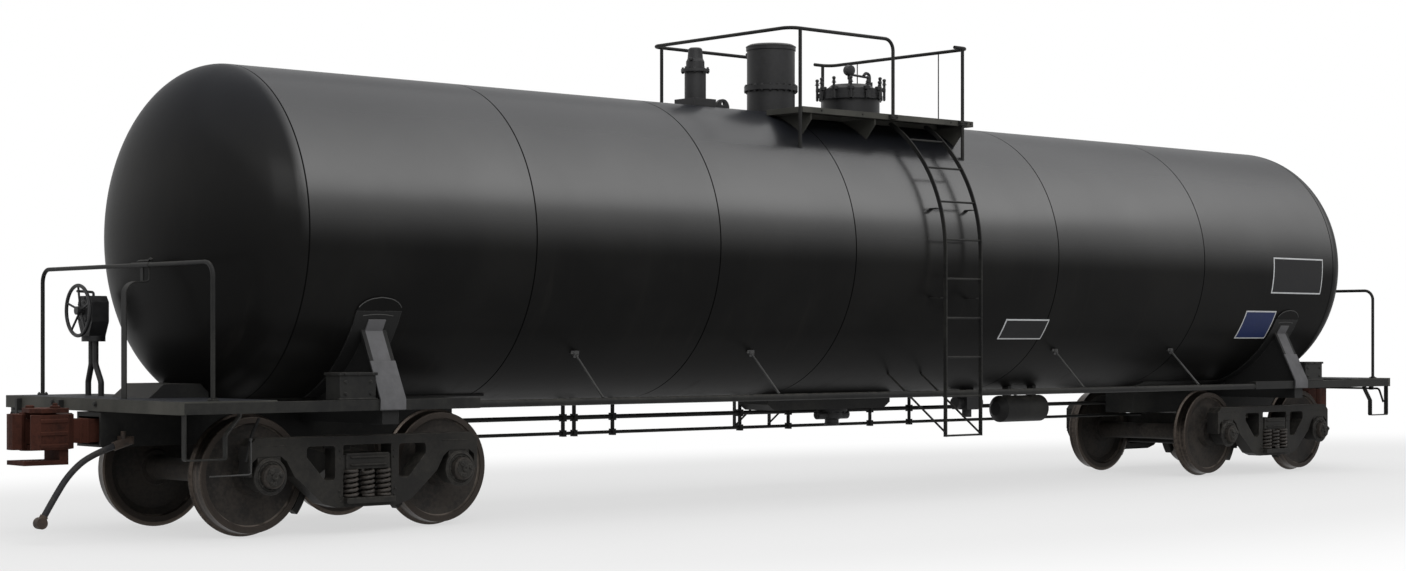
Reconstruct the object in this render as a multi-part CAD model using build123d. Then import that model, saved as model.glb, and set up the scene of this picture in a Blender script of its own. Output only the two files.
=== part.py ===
# Railway tank car: stub-sill tank on two four-wheel trucks, with couplers, ladders and top fittings.
# Millimetres. X runs along the car (hand-brake end at -X), Z is up, and Z = 0 is under the wheel flanges.
import math
import os
from build123d import *

# General fits
fit = 0.3                      # gap between faces of separate pieces
running_fit = 0.05             # radial gap of a pin or journal in its bore
moving_gap = 6                 # room round a piece that moves

# Tank
tank_radius = 1377
tank_axis_z = 2367
shell_half = 6870              # half length between the head seams
head_depth = tank_radius / 2   # two to one ellipsoidal head
seam_width = 8
seam_depth = 3
seam_x = (-4690, -2650, -950, 1970, 4420)
sill_pad = 16                  # plate between tank and stub sill
saddle_pad = 12                # plate between tank and body bolster

# Trucks and wheelsets
truck_x = 6150                 # truck centre from the car's middle
wheel_base = 1778
tread_radius = 457.2
flange_height = 25.4
flange_back = 677              # inner face of a wheel from the centre line
rim_width = 145
rim_depth = 62
hub_radius = 140
hub_length = 178
seat_radius = 101              # axle under the wheel
axle_radius = 86               # axle at its middle
journal_radius = 78.5
journal_y = 1003
bearing_radius = 126
bearing_length = 190
cap_radius = 92
cap_length = 58
adapter_height = 24
frame_thickness = 150          # side frame, across the car
frame_top = 775
frame_bottom = 215
frame_half = 1070
spring_seat_z = 290
spring_top_z = 512
spring_radius = 62
spring_pitch = 152
spring_row = 72                # rows either side of the journal line
window_half = 226              # spring opening
window_top = 705
bolster_half_width = 200
bolster_end_top = 636
bowl_z = 668                   # seat of the centre plate
bowl_radius = 184
bowl_wall = 26
bowl_rim = 22
shoe_gap = 10
shoe_depth = 58
shoe_width = 84
shoe_angle = 20
shoe_lean = 198                # middle of the shoe, in degrees about the axle
beam_drop = 140                # brake beam below the axle

# Stub sill, bolster and end platform
coupler_z = 830
sill_half = 195
sill_wall = 28
sill_bottom = 705
sill_top_out = 972
sill_inner_x = 4700
striker_x = 7990
pocket_depth = 760
pocket_height = 215
brace_x = (7120, 7640)
brace_half = 300
brace_top = 1185
bolster_bottom = 870
bolster_half = 75
strap_half = 115
strap_thickness = 16
strap_top_y = 1150
strap_top_z = 1595
pad_half = 210
pad_top = 1755
deck_top = 1077
deck_plate = 12
deck_end = 8000
deck_inner = 7180
deck_half = 1420
fascia_depth = 98
fascia_thickness = 40
side_sill_depth = 84
side_sill_width = 80
side_sill_end = 5300
step_bottom = 640
step_width = 340
step_bar = 12
step_depth = 50
step_setback = 120

# Handrails, side rails and ladders
rail_pipe = 17                 # handrail pipe radius
end_post_x = 7700
end_post_y = 1375
end_rail_z = 2105
end_bend = 110
foot_radius = 42
foot_height = 12
strap_bar = 10
strap_bar_width = 75
strap_bar_y = 300
side_pipe = 30
side_pipe_y = 1388
side_pipe_z = 1012
stay_radius = 10
stay_top_y = 1000
stay_x = (-4000, -1950, 2350, 4300)
ladder_x = (145, 648)
ladder_y = 1492
ladder_bottom = 600
stile_width = 12
stile_depth = 40
rung_radius = 10
rung_pitch = 376
brace_foot_y = 720
bracket_depth = 10
bracket_z = (1930, 2790)

# Top platform and fittings
top_deck_x = (-1250, 1130)
top_deck_y = (478, 970)
top_deck_z = 3710
top_deck_depth = 55
top_deck_plate = 10
top_deck_rim = 45
top_rail_z = 4430
top_rail_x = (-1430, 1050)
top_gap_x = (-50, 950)
top_bend = 110
top_hook = 110
relief_x = -1730
relief_body = 102
lug_x = -1385
lug_half = 80
lug_height = 95
lug_thickness = 32
lug_hole = 20
housing_x = -740
housing_radius = 235
housing_ring_z = 3980
housing_ring = 262
housing_top = 4352
housing_lid_height = 78
manway_x = 370
manway_radius = 292
manway_flange = 322
manway_flange_z = 3985
manway_flange_depth = 42
cover_radius = 318
cover_height = 62
hinge_radius = 14
hinge_reach = 72

# Underside and brake gear
skid_x = (-980, 720)
skid_half = 210
skid_bottom = 842
outlet_x = 100
outlet_radius = 105
outlet_bottom = 672
outlet_bore = 50
outlet_bore_length = 40
brake_line_x = 5420
brake_pipe_z = 812
brake_rod_z = 668
brake_line_y = (255, 255)
brake_pipe_radius = 21
brake_rod_radius = 16
hanger_x = (-3130, -3000, -2540, -920, -260, 910, 1500, 3200, 3400)
hanger_width = 40
hanger_thickness = 10
reservoir_x = (2200, 2960)
reservoir_radius = 140
reservoir_y = -330
reservoir_z = 800
valve_x = 1900

# Hand brake, at the -X end
wheel_x = -7660
wheel_y = 830
wheel_z = 1765
wheel_radius = 218
wheel_rim = 15
wheel_hub = 34
gear_depth = 150
gear_half = 120

# Coupler
coupler_pin_x = 7720
coupler_pin = 45
pull_face = 8600
shank_half = 68
shank_height = 180
head_half_height = 132
knuckle_pin_x = 8420
knuckle_pin_y = -118
knuckle_pin = 21
knuckle_hub = 72
knuckle_half = 136
hub_half = 96
lug_plate = 44
shelf_plate = 34

# Air hose
hose_radius = 25
hose_y = 330
cock_radius = 34
hose_route = ((7955, 715), (8150, 655), (8320, 520), (8440, 345), (8520, 212))   # x, z of each point


def block(x0, x1, y0, y1, z0, z1):
    centre = Pos((x0 + x1) / 2, (y0 + y1) / 2, (z0 + z1) / 2)
    return centre * Box(abs(x1 - x0), abs(y1 - y0), abs(z1 - z0))


def rod(start, end, radius):
    run = Vector(*end) - Vector(*start)
    upright = (Align.CENTER, Align.CENTER, Align.MIN)
    return Plane(origin=start, z_dir=run) * Cylinder(radius, run.length, align=upright)


def pipe(points, radius, bend):
    path = FilletPolyline(*points, radius=bend)
    section = Plane(origin=path @ 0, z_dir=path % 0) * Circle(radius)
    return sweep(section, path=path)


def slab_x(outline, x0, x1):
    face = make_face(Polyline(*[(x0, y, z) for y, z in outline], close=True))
    return extrude(face, amount=x1 - x0, dir=(1, 0, 0))


def slab_y(outline, y0, y1):
    face = make_face(Polyline(*[(x, y0, z) for x, z in outline], close=True))
    return extrude(face, amount=y1 - y0, dir=(0, 1, 0))


def slab_z(outline, z0, z1):
    face = make_face(Polyline(*[(x, y, z0) for x, y in outline], close=True))
    return extrude(face, amount=z1 - z0, dir=(0, 0, 1))


def turned_z(x, y, profile):
    face = make_face(Polyline(*[(x + r, y, z) for r, z in profile], close=True))
    return revolve(face, axis=Axis((x, y, 0), (0, 0, 1)))


def turned_y(x, z, profile):
    face = make_face(Polyline(*[(x, y, z + r) for y, r in profile], close=True))
    return revolve(face, axis=Axis((x, 0, z), (0, 1, 0)))


def tank_cylinder(extra, x0, x1):
    return rod((x0, 0, tank_axis_z), (x1, 0, tank_axis_z), tank_radius + extra)


def tank_drop(y, extra=0):
    return tank_axis_z - math.sqrt((tank_radius + extra) ** 2 - y ** 2)


def tank_rise(y, extra=0):
    return tank_axis_z + math.sqrt((tank_radius + extra) ** 2 - y ** 2)


def both_sides(shape):
    return [shape, mirror(shape, about=Plane.XZ)]


def together(shapes):
    return Compound(children=[solid for shape in shapes for solid in shape.solids()])


def placed(location, shape):
    return together([location * solid for solid in shape.solids()])


def both_ends(name, shape):
    return {name + "_a": shape, name + "_b": placed(Rot(0, 0, 180), shape)}


# Tank

def tank_shell():
    shell = tank_cylinder(0, -shell_half, shell_half)
    for x in seam_x:
        groove = tank_cylinder(seam_depth, x - seam_width / 2, x + seam_width / 2)
        shell -= groove - tank_cylinder(-seam_depth, x - seam_width, x + seam_width)
    return shell


def tank_head(extra=0):
    # Quarter ellipse from the seam to the head's nose, turned about the tank's axis.
    crown = EllipticalCenterArc((0, 0), head_depth + extra, tank_radius + extra, start_angle=0, arc_size=90)
    face = make_face([crown, Line(crown @ 1, (0, 0)), Line((0, 0), crown @ 0)])
    dome = revolve(Plane.XZ * face, axis=Axis((0, 0, 0), (1, 0, 0)))
    return Pos(shell_half + fit, 0, tank_axis_z) * dome


# Stub sill with its draft pocket, head brace and centre plate

def stub_sill():
    under = block(sill_inner_x, shell_half, -sill_half, sill_half, sill_bottom, deck_top)
    under -= tank_cylinder(sill_pad, sill_inner_x - 1, shell_half + 1)
    outer = block(shell_half, striker_x, -sill_half, sill_half, sill_bottom, sill_top_out)
    pad = tank_cylinder(sill_pad, sill_inner_x - 150, shell_half - 20)
    pad -= tank_cylinder(fit, sill_inner_x - 151, shell_half)
    pad &= block(sill_inner_x - 150, shell_half, -450, 450, sill_bottom, tank_drop(450))
    sill = under + outer + pad
    half_pocket = sill_half - sill_wall
    pocket = block(striker_x - pocket_depth, striker_x + 1, -half_pocket, half_pocket,
                   coupler_z - pocket_height / 2, coupler_z + pocket_height / 2)
    sill -= pocket
    x0, x1 = brace_x
    brace = slab_y([(x0, sill_top_out - 1), (x1, sill_top_out - 1), (x1, deck_top), (x1 - 130, brace_top),
                    (x0, brace_top)], -brace_half, brace_half)
    sill += brace - tank_head(fit)
    plate = rod((truck_x, 0, bowl_z + fit), (truck_x, 0, sill_bottom + 1), bowl_radius - moving_gap)
    pin = rod((coupler_pin_x, 0, sill_bottom), (coupler_pin_x, 0, sill_top_out), coupler_pin)
    return sill + plate + pin


def body_bolster():
    x0, x1 = truck_x - bolster_half, truck_x + bolster_half
    outer_y = deck_half - side_sill_width - fit
    sill_low = deck_top - deck_plate - side_sill_depth - fit
    sill_high = deck_top - deck_plate + fit
    web = slab_x([(sill_half + fit, bolster_bottom), (deck_half - 20, bolster_bottom), (deck_half - 20, sill_low),
                  (outer_y, sill_low), (outer_y, sill_high), (deck_half, sill_high), (strap_top_y, strap_top_z),
                  (sill_half + fit, strap_top_z)], x0, x1)
    strap = slab_x([(deck_half + fit, sill_low), (deck_half + strap_thickness, sill_low),
                    (deck_half + strap_thickness, sill_high), (strap_top_y + strap_thickness, strap_top_z + 10),
                    (strap_top_y - 25, strap_top_z + 10), (strap_top_y, strap_top_z - 10), (deck_half + fit, sill_high)],
                   truck_x - strap_half, truck_x + strap_half)
    pad = tank_cylinder(saddle_pad, truck_x - pad_half, truck_x + pad_half)
    pad &= block(truck_x - pad_half, truck_x + pad_half, 451, tank_radius + saddle_pad, tank_drop(451), pad_top)
    half = web + strap + pad
    half -= tank_cylinder(fit, truck_x - 400, truck_x + 400)
    half -= block(truck_x - 400, truck_x + 400, 0, 450 + fit, tank_drop(450, sill_pad) - 90, tank_axis_z)
    return together(both_sides(half))


def end_platform():
    deck = block(deck_inner, deck_end, -deck_half, deck_half, deck_top - deck_plate, deck_top)
    deck -= block(brace_x[0], brace_x[1] + fit, -brace_half - fit, brace_half + fit, 0, deck_top + 1)
    fascia = block(deck_end - fascia_thickness, deck_end, -deck_half, deck_half, deck_top - fascia_depth, deck_top)
    return deck + fascia


def side_sills():
    top = deck_top - deck_plate - fit
    sill = block(side_sill_end, deck_end - fascia_thickness - fit, deck_half - side_sill_width, deck_half,
                 top - side_sill_depth, top)
    return together(both_sides(sill) + both_sides(mirror(sill, about=Plane.YZ)))


def sill_steps():
    # Bent flat-bar stirrup under each corner, its inner leg set back under the side sill.
    top = deck_top - deck_plate - 2 * fit - side_sill_depth
    x1 = deck_end - fascia_thickness - 10
    x0 = x1 - step_width
    path = FilletPolyline((x0 - step_setback, top), (x0 - step_setback, top - 20), (x0, top - step_setback - 40),
                          (x0, step_bottom + step_bar / 2), (x1, step_bottom + step_bar / 2), (x1, top), radius=18)
    path = Plane.XZ * path
    section = Plane(origin=path @ 0, z_dir=path % 0, x_dir=(1, 0, 0)) * Rectangle(step_bar, step_depth)
    step = Pos(0, deck_half - step_depth / 2, 0) * sweep(section, path=path)
    return together(both_sides(step) + both_sides(mirror(step, about=Plane.YZ)))


def end_handrail():
    corners = [(end_post_x, -end_post_y, deck_top), (end_post_x, -end_post_y, end_rail_z),
               (end_post_x, end_post_y, end_rail_z), (end_post_x, end_post_y, deck_top)]
    rail = pipe(corners, rail_pipe, end_bend)
    for y in (-end_post_y, end_post_y):
        rail += rod((end_post_x, y, deck_top), (end_post_x, y, deck_top + foot_height), foot_radius)
    return rail


def rail_strap():
    # Flat bar from the deck's front edge up and back to the middle of the end rail.
    x = deck_end - 150
    high = end_rail_z - 130
    path = FilletPolyline((x, strap_bar_y, deck_top), (x, strap_bar_y, high), (end_post_x - 10, strap_bar_y, high),
                          radius=100)
    bar = sweep(Plane(origin=path @ 0, z_dir=path % 0) * Rectangle(strap_bar, strap_bar_width), path=path)
    clip = block(end_post_x - 10, end_post_x + 2, strap_bar_y - 20, strap_bar_y + 20, high - strap_bar / 2,
                 end_rail_z - rail_pipe - fit)
    return bar + clip


def side_rails():
    pipe_run = rod((-side_sill_end + fit, -side_pipe_y, side_pipe_z), (side_sill_end - fit, -side_pipe_y, side_pipe_z),
                   side_pipe)
    return together(both_sides(pipe_run))


def rail_stays():
    stays = []
    for x in stay_x:
        start = (x, -side_pipe_y, side_pipe_z + side_pipe + fit)
        end = (x, -stay_top_y, tank_drop(stay_top_y))
        stay = rod(start, end, stay_radius)
        stay += rod((x, -stay_top_y - 25, tank_drop(stay_top_y) - 30), end, 26)
        stay -= tank_cylinder(fit, x - 100, x + 100)
        stay -= rod((x - 100, -side_pipe_y, side_pipe_z), (x + 100, -side_pipe_y, side_pipe_z), side_pipe + fit)
        stays += both_sides(stay)
    return together(stays)


def ladder():
    # Uprights, curved tops, rungs, foot braces and brackets of the ladder on the -y side.
    deck_low = top_deck_z - top_deck_depth - fit
    top_angle = math.asin((deck_low - tank_axis_z) / ladder_y)
    curve = CenterArc((0, tank_axis_z), ladder_y, 180, -math.degrees(top_angle))
    bars = []
    x0, x1 = ladder_x
    room = tank_cylinder(fit, x0 - 100, x1 + 100)
    above = block(x0 - 100, x1 + 100, -ladder_y, 0, deck_low, deck_low + 200)
    for x in ladder_x:
        bars.append(block(x - stile_width / 2, x + stile_width / 2, -ladder_y - stile_depth / 2, -ladder_y + stile_depth / 2,
                          ladder_bottom, tank_axis_z - fit))
        path = Plane.YZ * curve
        section = Plane(origin=path @ 0, z_dir=path % 0, x_dir=(1, 0, 0)) * Rectangle(stile_width, stile_depth)
        bars.append(Pos(x, 0, 0) * sweep(section, path=path) - above)
        side = stile_width / 2 + fit + rung_radius if x == x0 else -stile_width / 2 - fit - rung_radius
        bars.append(rod((x + side, -ladder_y, ladder_bottom + 30), (x + side, -brace_foot_y, tank_drop(brace_foot_y)),
                        rung_radius) - room)
        for z in bracket_z:
            reach = math.sqrt(ladder_y ** 2 - max(z - tank_axis_z, 0) ** 2) - stile_depth
            bars.append(block(x - 25, x + 25, -reach, -reach + 200, z - bracket_depth / 2, z + bracket_depth / 2) - room)
    inner0 = x0 + stile_width / 2 + fit
    inner1 = x1 - stile_width / 2 - fit
    straight = tank_axis_z - ladder_bottom
    for step in range(int((straight + curve.length) // rung_pitch) + 1):
        along = step * rung_pitch + rung_radius
        turn = max(along - straight, 0) / ladder_y
        y = -ladder_y * math.cos(turn)
        z = ladder_bottom + min(along, straight) + ladder_y * math.sin(turn)
        bars.append(rod((inner0, y, z), (inner1, y, z), rung_radius))
    return bars


def ladders():
    return together([side for bar in ladder() for side in both_sides(bar)])


def top_platform():
    x0, x1 = top_deck_x
    y0, y1 = top_deck_y
    deck = block(x0, x1, -y1, -y0, top_deck_z - top_deck_depth, top_deck_z)
    deck -= block(x0 + top_deck_rim, x1 - top_deck_rim, -y1 + top_deck_rim, -y0 - top_deck_rim,
                  0, top_deck_z - top_deck_plate)
    for x in (x0 + 130, (x0 + x1) / 2 - 200, x1 - 130):
        deck += slab_x([(-y1 + 20, top_deck_z - top_deck_depth - 60), (-y1 + 20, top_deck_z - top_deck_depth),
                        (-y0, top_deck_z - top_deck_depth), (-y0, 3400), (-y1 + 200, 3400)], x - 6, x + 6)
    deck -= tank_cylinder(fit, x0 - 1, x1 + 1)
    return together(both_sides(deck))


def top_handrail():
    y = top_deck_y[1] + rail_pipe + fit
    x0, x1 = top_rail_x
    g0, g1 = top_gap_x
    foot_z = top_deck_z - top_deck_depth
    loop = pipe([(g0, -y, foot_z), (g0, -y, top_rail_z), (x0, -y, top_rail_z), (x0, y, top_rail_z),
                 (g0, y, top_rail_z), (g0, y, foot_z)], rail_pipe, top_bend)
    end = pipe([(x1 - 2 * top_hook, -y, top_rail_z), (x1, -y, top_rail_z), (x1, y, top_rail_z),
                (x1 - 2 * top_hook, y, top_rail_z)], rail_pipe, top_hook)
    for side in (-1, 1):
        low = tank_rise(y)
        loop += rod((x0 + 130, side * y, low - 40), (x0 + 130, side * y, top_rail_z), rail_pipe)
        end += rod((g1, side * y, low - 40), (g1, side * y, top_rail_z), rail_pipe)
    loop -= tank_cylinder(fit, x0 - 200, x1 + 200)
    end -= tank_cylinder(fit, x0 - 200, x1 + 200)
    return together([loop, end])


# Fittings on the tank's top

def seated(shape, x, reach):
    return shape - tank_cylinder(fit, x - reach, x + reach)


def relief_valve():
    low = tank_rise(0) - 40
    body = turned_z(relief_x, 0, [(0, low), (relief_body, low), (relief_body, 4070), (136, 4070), (136, 4098),
                                  (88, 4098), (88, 4170), (74, 4200), (66, 4290), (52, 4302), (0, 4302)])
    body += block(relief_x - 140, relief_x + 140, -140, 140, low, tank_rise(0) + 68)
    return seated(body, relief_x, 300)


def lifting_lug():
    z = tank_rise(0) - 10
    plate = block(lug_x - lug_half, lug_x + lug_half, -lug_thickness / 2, lug_thickness / 2, z, z + 10 + lug_height - lug_half)
    plate += rod((lug_x, -lug_thickness / 2, z + 10 + lug_height - lug_half),
                 (lug_x, lug_thickness / 2, z + 10 + lug_height - lug_half), lug_half)
    hole_z = z + 10 + lug_height - 45
    plate -= rod((lug_x, -lug_thickness, hole_z), (lug_x, lug_thickness, hole_z), lug_hole)
    return seated(plate, lug_x, 200)


def hinge_eye(x, y, z, half, radius):
    return rod((x - half, y, z), (x + half, y, z), radius)


def valve_housing():
    low = tank_rise(housing_radius) - 40
    body = turned_z(housing_x, 0, [(0, low), (housing_radius, low), (housing_radius, housing_ring_z - 24),
                                   (housing_ring, housing_ring_z - 24), (housing_ring, housing_ring_z + 20),
                                   (housing_radius, housing_ring_z + 20), (housing_radius, housing_top), (0, housing_top)])
    y = housing_radius + hinge_reach / 2
    z = housing_top - hinge_radius
    for side in (-1, 1):
        x = housing_x + side * 62
        body += block(x - 12, x + 12, housing_radius - 30, y, z - hinge_radius, z + hinge_radius)
        body += hinge_eye(x, y, z, 12, hinge_radius)
    body += rod((housing_x - 74, y, z), (housing_x + 74, y, z), hinge_radius / 2)
    return seated(body, housing_x, 400)


def housing_lid():
    low = housing_top + fit
    lid = turned_z(housing_x, 0, [(0, low), (housing_radius + 8, low), (housing_radius + 8, low + 42),
                                  (housing_radius - 20, low + 58), (0, low + housing_lid_height)])
    y = housing_radius + hinge_reach / 2
    z = housing_top - hinge_radius
    lid += block(housing_x - 44, housing_x + 44, housing_radius - 20, y + hinge_radius, low, low + 20)
    lid += block(housing_x - 44, housing_x + 44, y, y + hinge_radius, z, low + 20)
    lid += hinge_eye(housing_x, y, z, 44, hinge_radius)
    lid -= rod((housing_x - 50, y, z), (housing_x + 50, y, z), hinge_radius / 2 + running_fit)
    return lid


def manway_neck():
    low = tank_rise(manway_radius) - 40
    top = manway_flange_z
    neck = turned_z(manway_x, 0, [(0, low), (manway_radius, low), (manway_radius, top - manway_flange_depth),
                                  (manway_flange, top - manway_flange_depth), (manway_flange, top), (0, top)])
    y = manway_flange + hinge_reach / 2
    z = top + cover_height / 2
    for side in (-1, 1):
        x = manway_x + side * 82
        neck += slab_x([(manway_flange - 30, top - manway_flange_depth), (y + 20, z - 20), (y + 20, z), (y - 20, z),
                        (y - 20, top), (manway_flange - 30, top)], x - 14, x + 14)
        neck += hinge_eye(x, y, z, 14, 20)
    neck += rod((manway_x - 96, y, z), (manway_x + 96, y, z), hinge_radius / 2 + 3)
    return seated(neck, manway_x, 500)


def manway_cover():
    low = manway_flange_z + fit
    cover = turned_z(manway_x, 0, [(0, low), (cover_radius, low), (cover_radius, low + cover_height),
                                   (cover_radius - 60, low + cover_height), (cover_radius - 120, low + cover_height + 50),
                                   (0, low + cover_height + 72)])
    y = manway_flange + hinge_reach / 2
    z = manway_flange_z + cover_height / 2
    arm = block(manway_x - 62, manway_x + 62, cover_radius - 90, y, z, low + cover_height)
    arm += hinge_eye(manway_x, y, z, 62, 24)
    cover += arm
    cover -= rod((manway_x - 70, y, z), (manway_x + 70, y, z), hinge_radius / 2 + 3 + running_fit)
    return cover


# Underside

def outlet_skid():
    x0, x1 = skid_x
    skid = slab_y([(x0, 1010), (x0, skid_bottom + 60), (x0 + 90, skid_bottom), (x1 - 90, skid_bottom), (x1, skid_bottom + 60),
                   (x1, 1010)], -skid_half, skid_half)
    return skid - tank_cylinder(fit, x0 - 1, x1 + 1)


def bottom_outlet():
    top = skid_bottom - fit
    body = turned_z(outlet_x, 0, [(0, top), (outlet_radius + 50, top), (outlet_radius + 50, top - 28), (outlet_radius, top - 28),
                                  (outlet_radius, top - 95), (70, top - 112), (70, outlet_bottom), (0, outlet_bottom)])
    body += rod((outlet_x - 210, 0, top - 62), (outlet_x + 210, 0, top - 62), 46)
    body -= rod((outlet_x, 0, outlet_bottom - 1), (outlet_x, 0, outlet_bottom + outlet_bore_length), outlet_bore)
    return body


def brake_lines():
    y0, y1 = brake_line_y
    line = rod((-brake_line_x, y0, brake_pipe_z), (brake_line_x, y0, brake_pipe_z), brake_pipe_radius)
    pull = rod((-brake_line_x, y1, brake_rod_z), (brake_line_x, y1, brake_rod_z), brake_rod_radius)
    return together([line, pull])


def brake_hangers():
    hangers = []
    y = brake_line_y[0]
    for x in hanger_x:
        bar = block(x - hanger_width / 2, x + hanger_width / 2, y - hanger_thickness / 2, y + hanger_thickness / 2,
                    brake_rod_z - 30, tank_drop(y) + 20)
        bar += block(x - 20, x + 20, y - 34, y + 34, brake_pipe_z - 34, brake_pipe_z + 34)
        bar += block(x - 20, x + 20, y - 30, y + 30, brake_rod_z - 30, brake_rod_z + 30)
        bar -= rod((x - 99, y, brake_pipe_z), (x + 99, y, brake_pipe_z), brake_pipe_radius + fit)
        bar -= rod((x - 99, y, brake_rod_z), (x + 99, y, brake_rod_z), brake_rod_radius + fit)
        bar -= tank_cylinder(fit, x - 100, x + 100)
        hangers.append(bar)
    return together(hangers)


def air_reservoir():
    x0, x1 = reservoir_x
    tank = rod((x0 + 60, reservoir_y, reservoir_z), (x1 - 60, reservoir_y, reservoir_z), reservoir_radius)
    for x, end in ((x0 + 60, x0), (x1 - 60, x1)):
        cone = Cone(reservoir_radius, 70, 60, align=(Align.CENTER, Align.CENTER, Align.MIN))
        tank += Plane(origin=(x, reservoir_y, reservoir_z), z_dir=(end - x, 0, 0)) * cone
    for x in (x0 + 180, x1 - 180):
        tank += block(x - 25, x + 25, reservoir_y - 40, reservoir_y + 40, reservoir_z + 100, tank_drop(reservoir_y) + 40)
    return tank - tank_cylinder(fit, x0 - 100, x1 + 100)


def control_valve():
    x = valve_x
    body = block(x - 110, x + 110, -300, -90, 800, 940)
    body += block(x - 60, x + 60, -240, -150, 930, tank_drop(150) + 20)
    body += rod((x - 190, -195, 870), (x + 190, -195, 870), 62)
    body += rod((x, -195, 720), (x, -195, 810), 50)
    return body - tank_cylinder(fit, x - 300, x + 300)


# Hand brake at the -X end

def hand_wheel():
    ring = Plane(origin=(wheel_x, wheel_y, wheel_z), z_dir=(1, 0, 0)) * Torus(wheel_radius - wheel_rim, wheel_rim)
    hub = rod((wheel_x - 20, wheel_y, wheel_z), (wheel_x + 60, wheel_y, wheel_z), wheel_hub)
    wheel = hub
    for turn in range(5):
        angle = math.radians(90 + 72 * turn)
        tip = (wheel_x, wheel_y + (wheel_radius - wheel_rim) * math.cos(angle),
               wheel_z + (wheel_radius - wheel_rim) * math.sin(angle))
        wheel += rod((wheel_x + 20, wheel_y, wheel_z), tip, 9)
    return wheel + ring


def hand_brake():
    x0 = wheel_x + 60 + fit
    x1 = x0 + gear_depth
    xm = (x0 + x1) / 2
    case = slab_x([(wheel_y - gear_half, wheel_z + 70), (wheel_y - gear_half + 40, wheel_z + 120),
                   (wheel_y + gear_half - 40, wheel_z + 120), (wheel_y + gear_half, wheel_z + 70),
                   (wheel_y + gear_half, wheel_z - 90), (wheel_y + 60, wheel_z - 210), (wheel_y - 60, wheel_z - 210),
                   (wheel_y - gear_half, wheel_z - 90)], x0, x1)
    case += rod((xm, wheel_y, wheel_z - 250), (xm, wheel_y, wheel_z - 205), 95)
    leg_top = wheel_z - 245
    for start, reach in ((-36, -130), (36, 90)):
        leg = pipe([(xm, wheel_y + start, leg_top), (xm, wheel_y + start, leg_top - 190),
                    (xm, wheel_y + reach, leg_top - 330), (xm, wheel_y + reach, deck_top)], 24, 60)
        case += leg
    return case


# Coupler and uncoupling gear, at the +X end

def coupler():
    low = coupler_z - head_half_height
    high = coupler_z + head_half_height
    head = slab_z([(8150, -shank_half), (8225, -150), (8330, -178), (8340, -30), (8385, 62), (8530, 118), (8560, 190),
                   (8490, 212), (8240, 168), (8150, shank_half)], low, high)
    shank_end = coupler_pin_x - 95
    shank = block(shank_end, 8160, -shank_half, shank_half, coupler_z - shank_height / 2, coupler_z + shank_height / 2)
    shank -= rod((coupler_pin_x, 0, low), (coupler_pin_x, 0, high), coupler_pin + running_fit)
    body = head + shank
    for z0 in (coupler_z + hub_half + moving_gap, coupler_z - hub_half - moving_gap - lug_plate):
        lug = rod((knuckle_pin_x, knuckle_pin_y, z0), (knuckle_pin_x, knuckle_pin_y, z0 + lug_plate), knuckle_hub + 4)
        lug += block(8240, knuckle_pin_x, knuckle_pin_y - 60, knuckle_pin_y + 76, z0, z0 + lug_plate)
        body += lug
    shelf_top = coupler_z + hub_half + moving_gap + lug_plate
    body += slab_z([(8230, -160), (8470, -150), (8510, 60), (8470, 190), (8230, 150)], shelf_top - 1, shelf_top + shelf_plate)
    shelf_low = coupler_z - hub_half - moving_gap - lug_plate
    body += block(8230, 8300, -120, 140, shelf_low - 70, shelf_low + 20)
    body += slab_z([(8230, -120), (8590, -150), (8590, 140), (8230, 140)], shelf_low - 104, shelf_low - 70)
    body += rod((knuckle_pin_x, knuckle_pin_y, shelf_low), (knuckle_pin_x, knuckle_pin_y, shelf_top), knuckle_pin)
    return body


def knuckle():
    x, y = knuckle_pin_x, knuckle_pin_y
    nose = slab_z([(x - 10, y - 68), (x + 120, y - 74), (pull_face - 12, y - 40), (pull_face, y + 20), (pull_face, y + 84),
                   (pull_face - 60, y + 112), (x + 92, y + 100), (x + 78, y + 60), (x, y + 66)],
                  coupler_z - knuckle_half, coupler_z + knuckle_half)
    clear = knuckle_hub + 4 + moving_gap
    for z0 in (coupler_z + hub_half, coupler_z - knuckle_half - 1):
        nose -= rod((x, y, z0), (x, y, z0 + knuckle_half - hub_half + 1), clear)
    body = nose + rod((x, y, coupler_z - hub_half), (x, y, coupler_z + hub_half), knuckle_hub)
    low = coupler_z - knuckle_half
    return body - rod((x, y, low), (x, y, low + 2 * knuckle_half), knuckle_pin + running_fit)


def uncoupling_lever():
    x = deck_end + 28
    z = deck_top - fascia_depth - 30
    lever = pipe([(x + 60, -150, z), (x, -210, z), (x, -1250, z), (x, -1310, z - 160)], 12, 40)
    for y in (-420, -1150):
        lever += block(deck_end + fit, x + 16, y - 20, y + 20, z - 16, deck_top - 20)
    return lever


def angle_cock():
    (x0, z0), (x1, z1) = hose_route[:2]
    run = math.hypot(x1 - x0, z1 - z0)
    back = ((x0 - x1) / run, (z0 - z1) / run)
    inner = (x0 + back[0] * 150, hose_y, z0 + back[1] * 150)
    body = rod(inner, (x0, hose_y, z0), cock_radius)
    body += block(inner[0] - 30, inner[0] + 40, sill_half + fit, hose_y, inner[2] - 30, inner[2] + 30)
    body += rod((inner[0] + 60, hose_y, inner[2] - 20), (inner[0] + 60, hose_y, inner[2] + 70), 20)
    return body


def hose_points():
    return [(x, hose_y, z) for x, z in hose_route]


def corner_radii(points):
    radii = []
    for before, here, after in zip(points, points[1:], points[2:]):
        run_in = Vector(*here) - Vector(*before)
        run_out = Vector(*after) - Vector(*here)
        half_turn = math.radians(run_in.get_angle(run_out)) / 2
        radii.append(0.45 * min(run_in.length, run_out.length) / math.tan(half_turn))
    return radii


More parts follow.
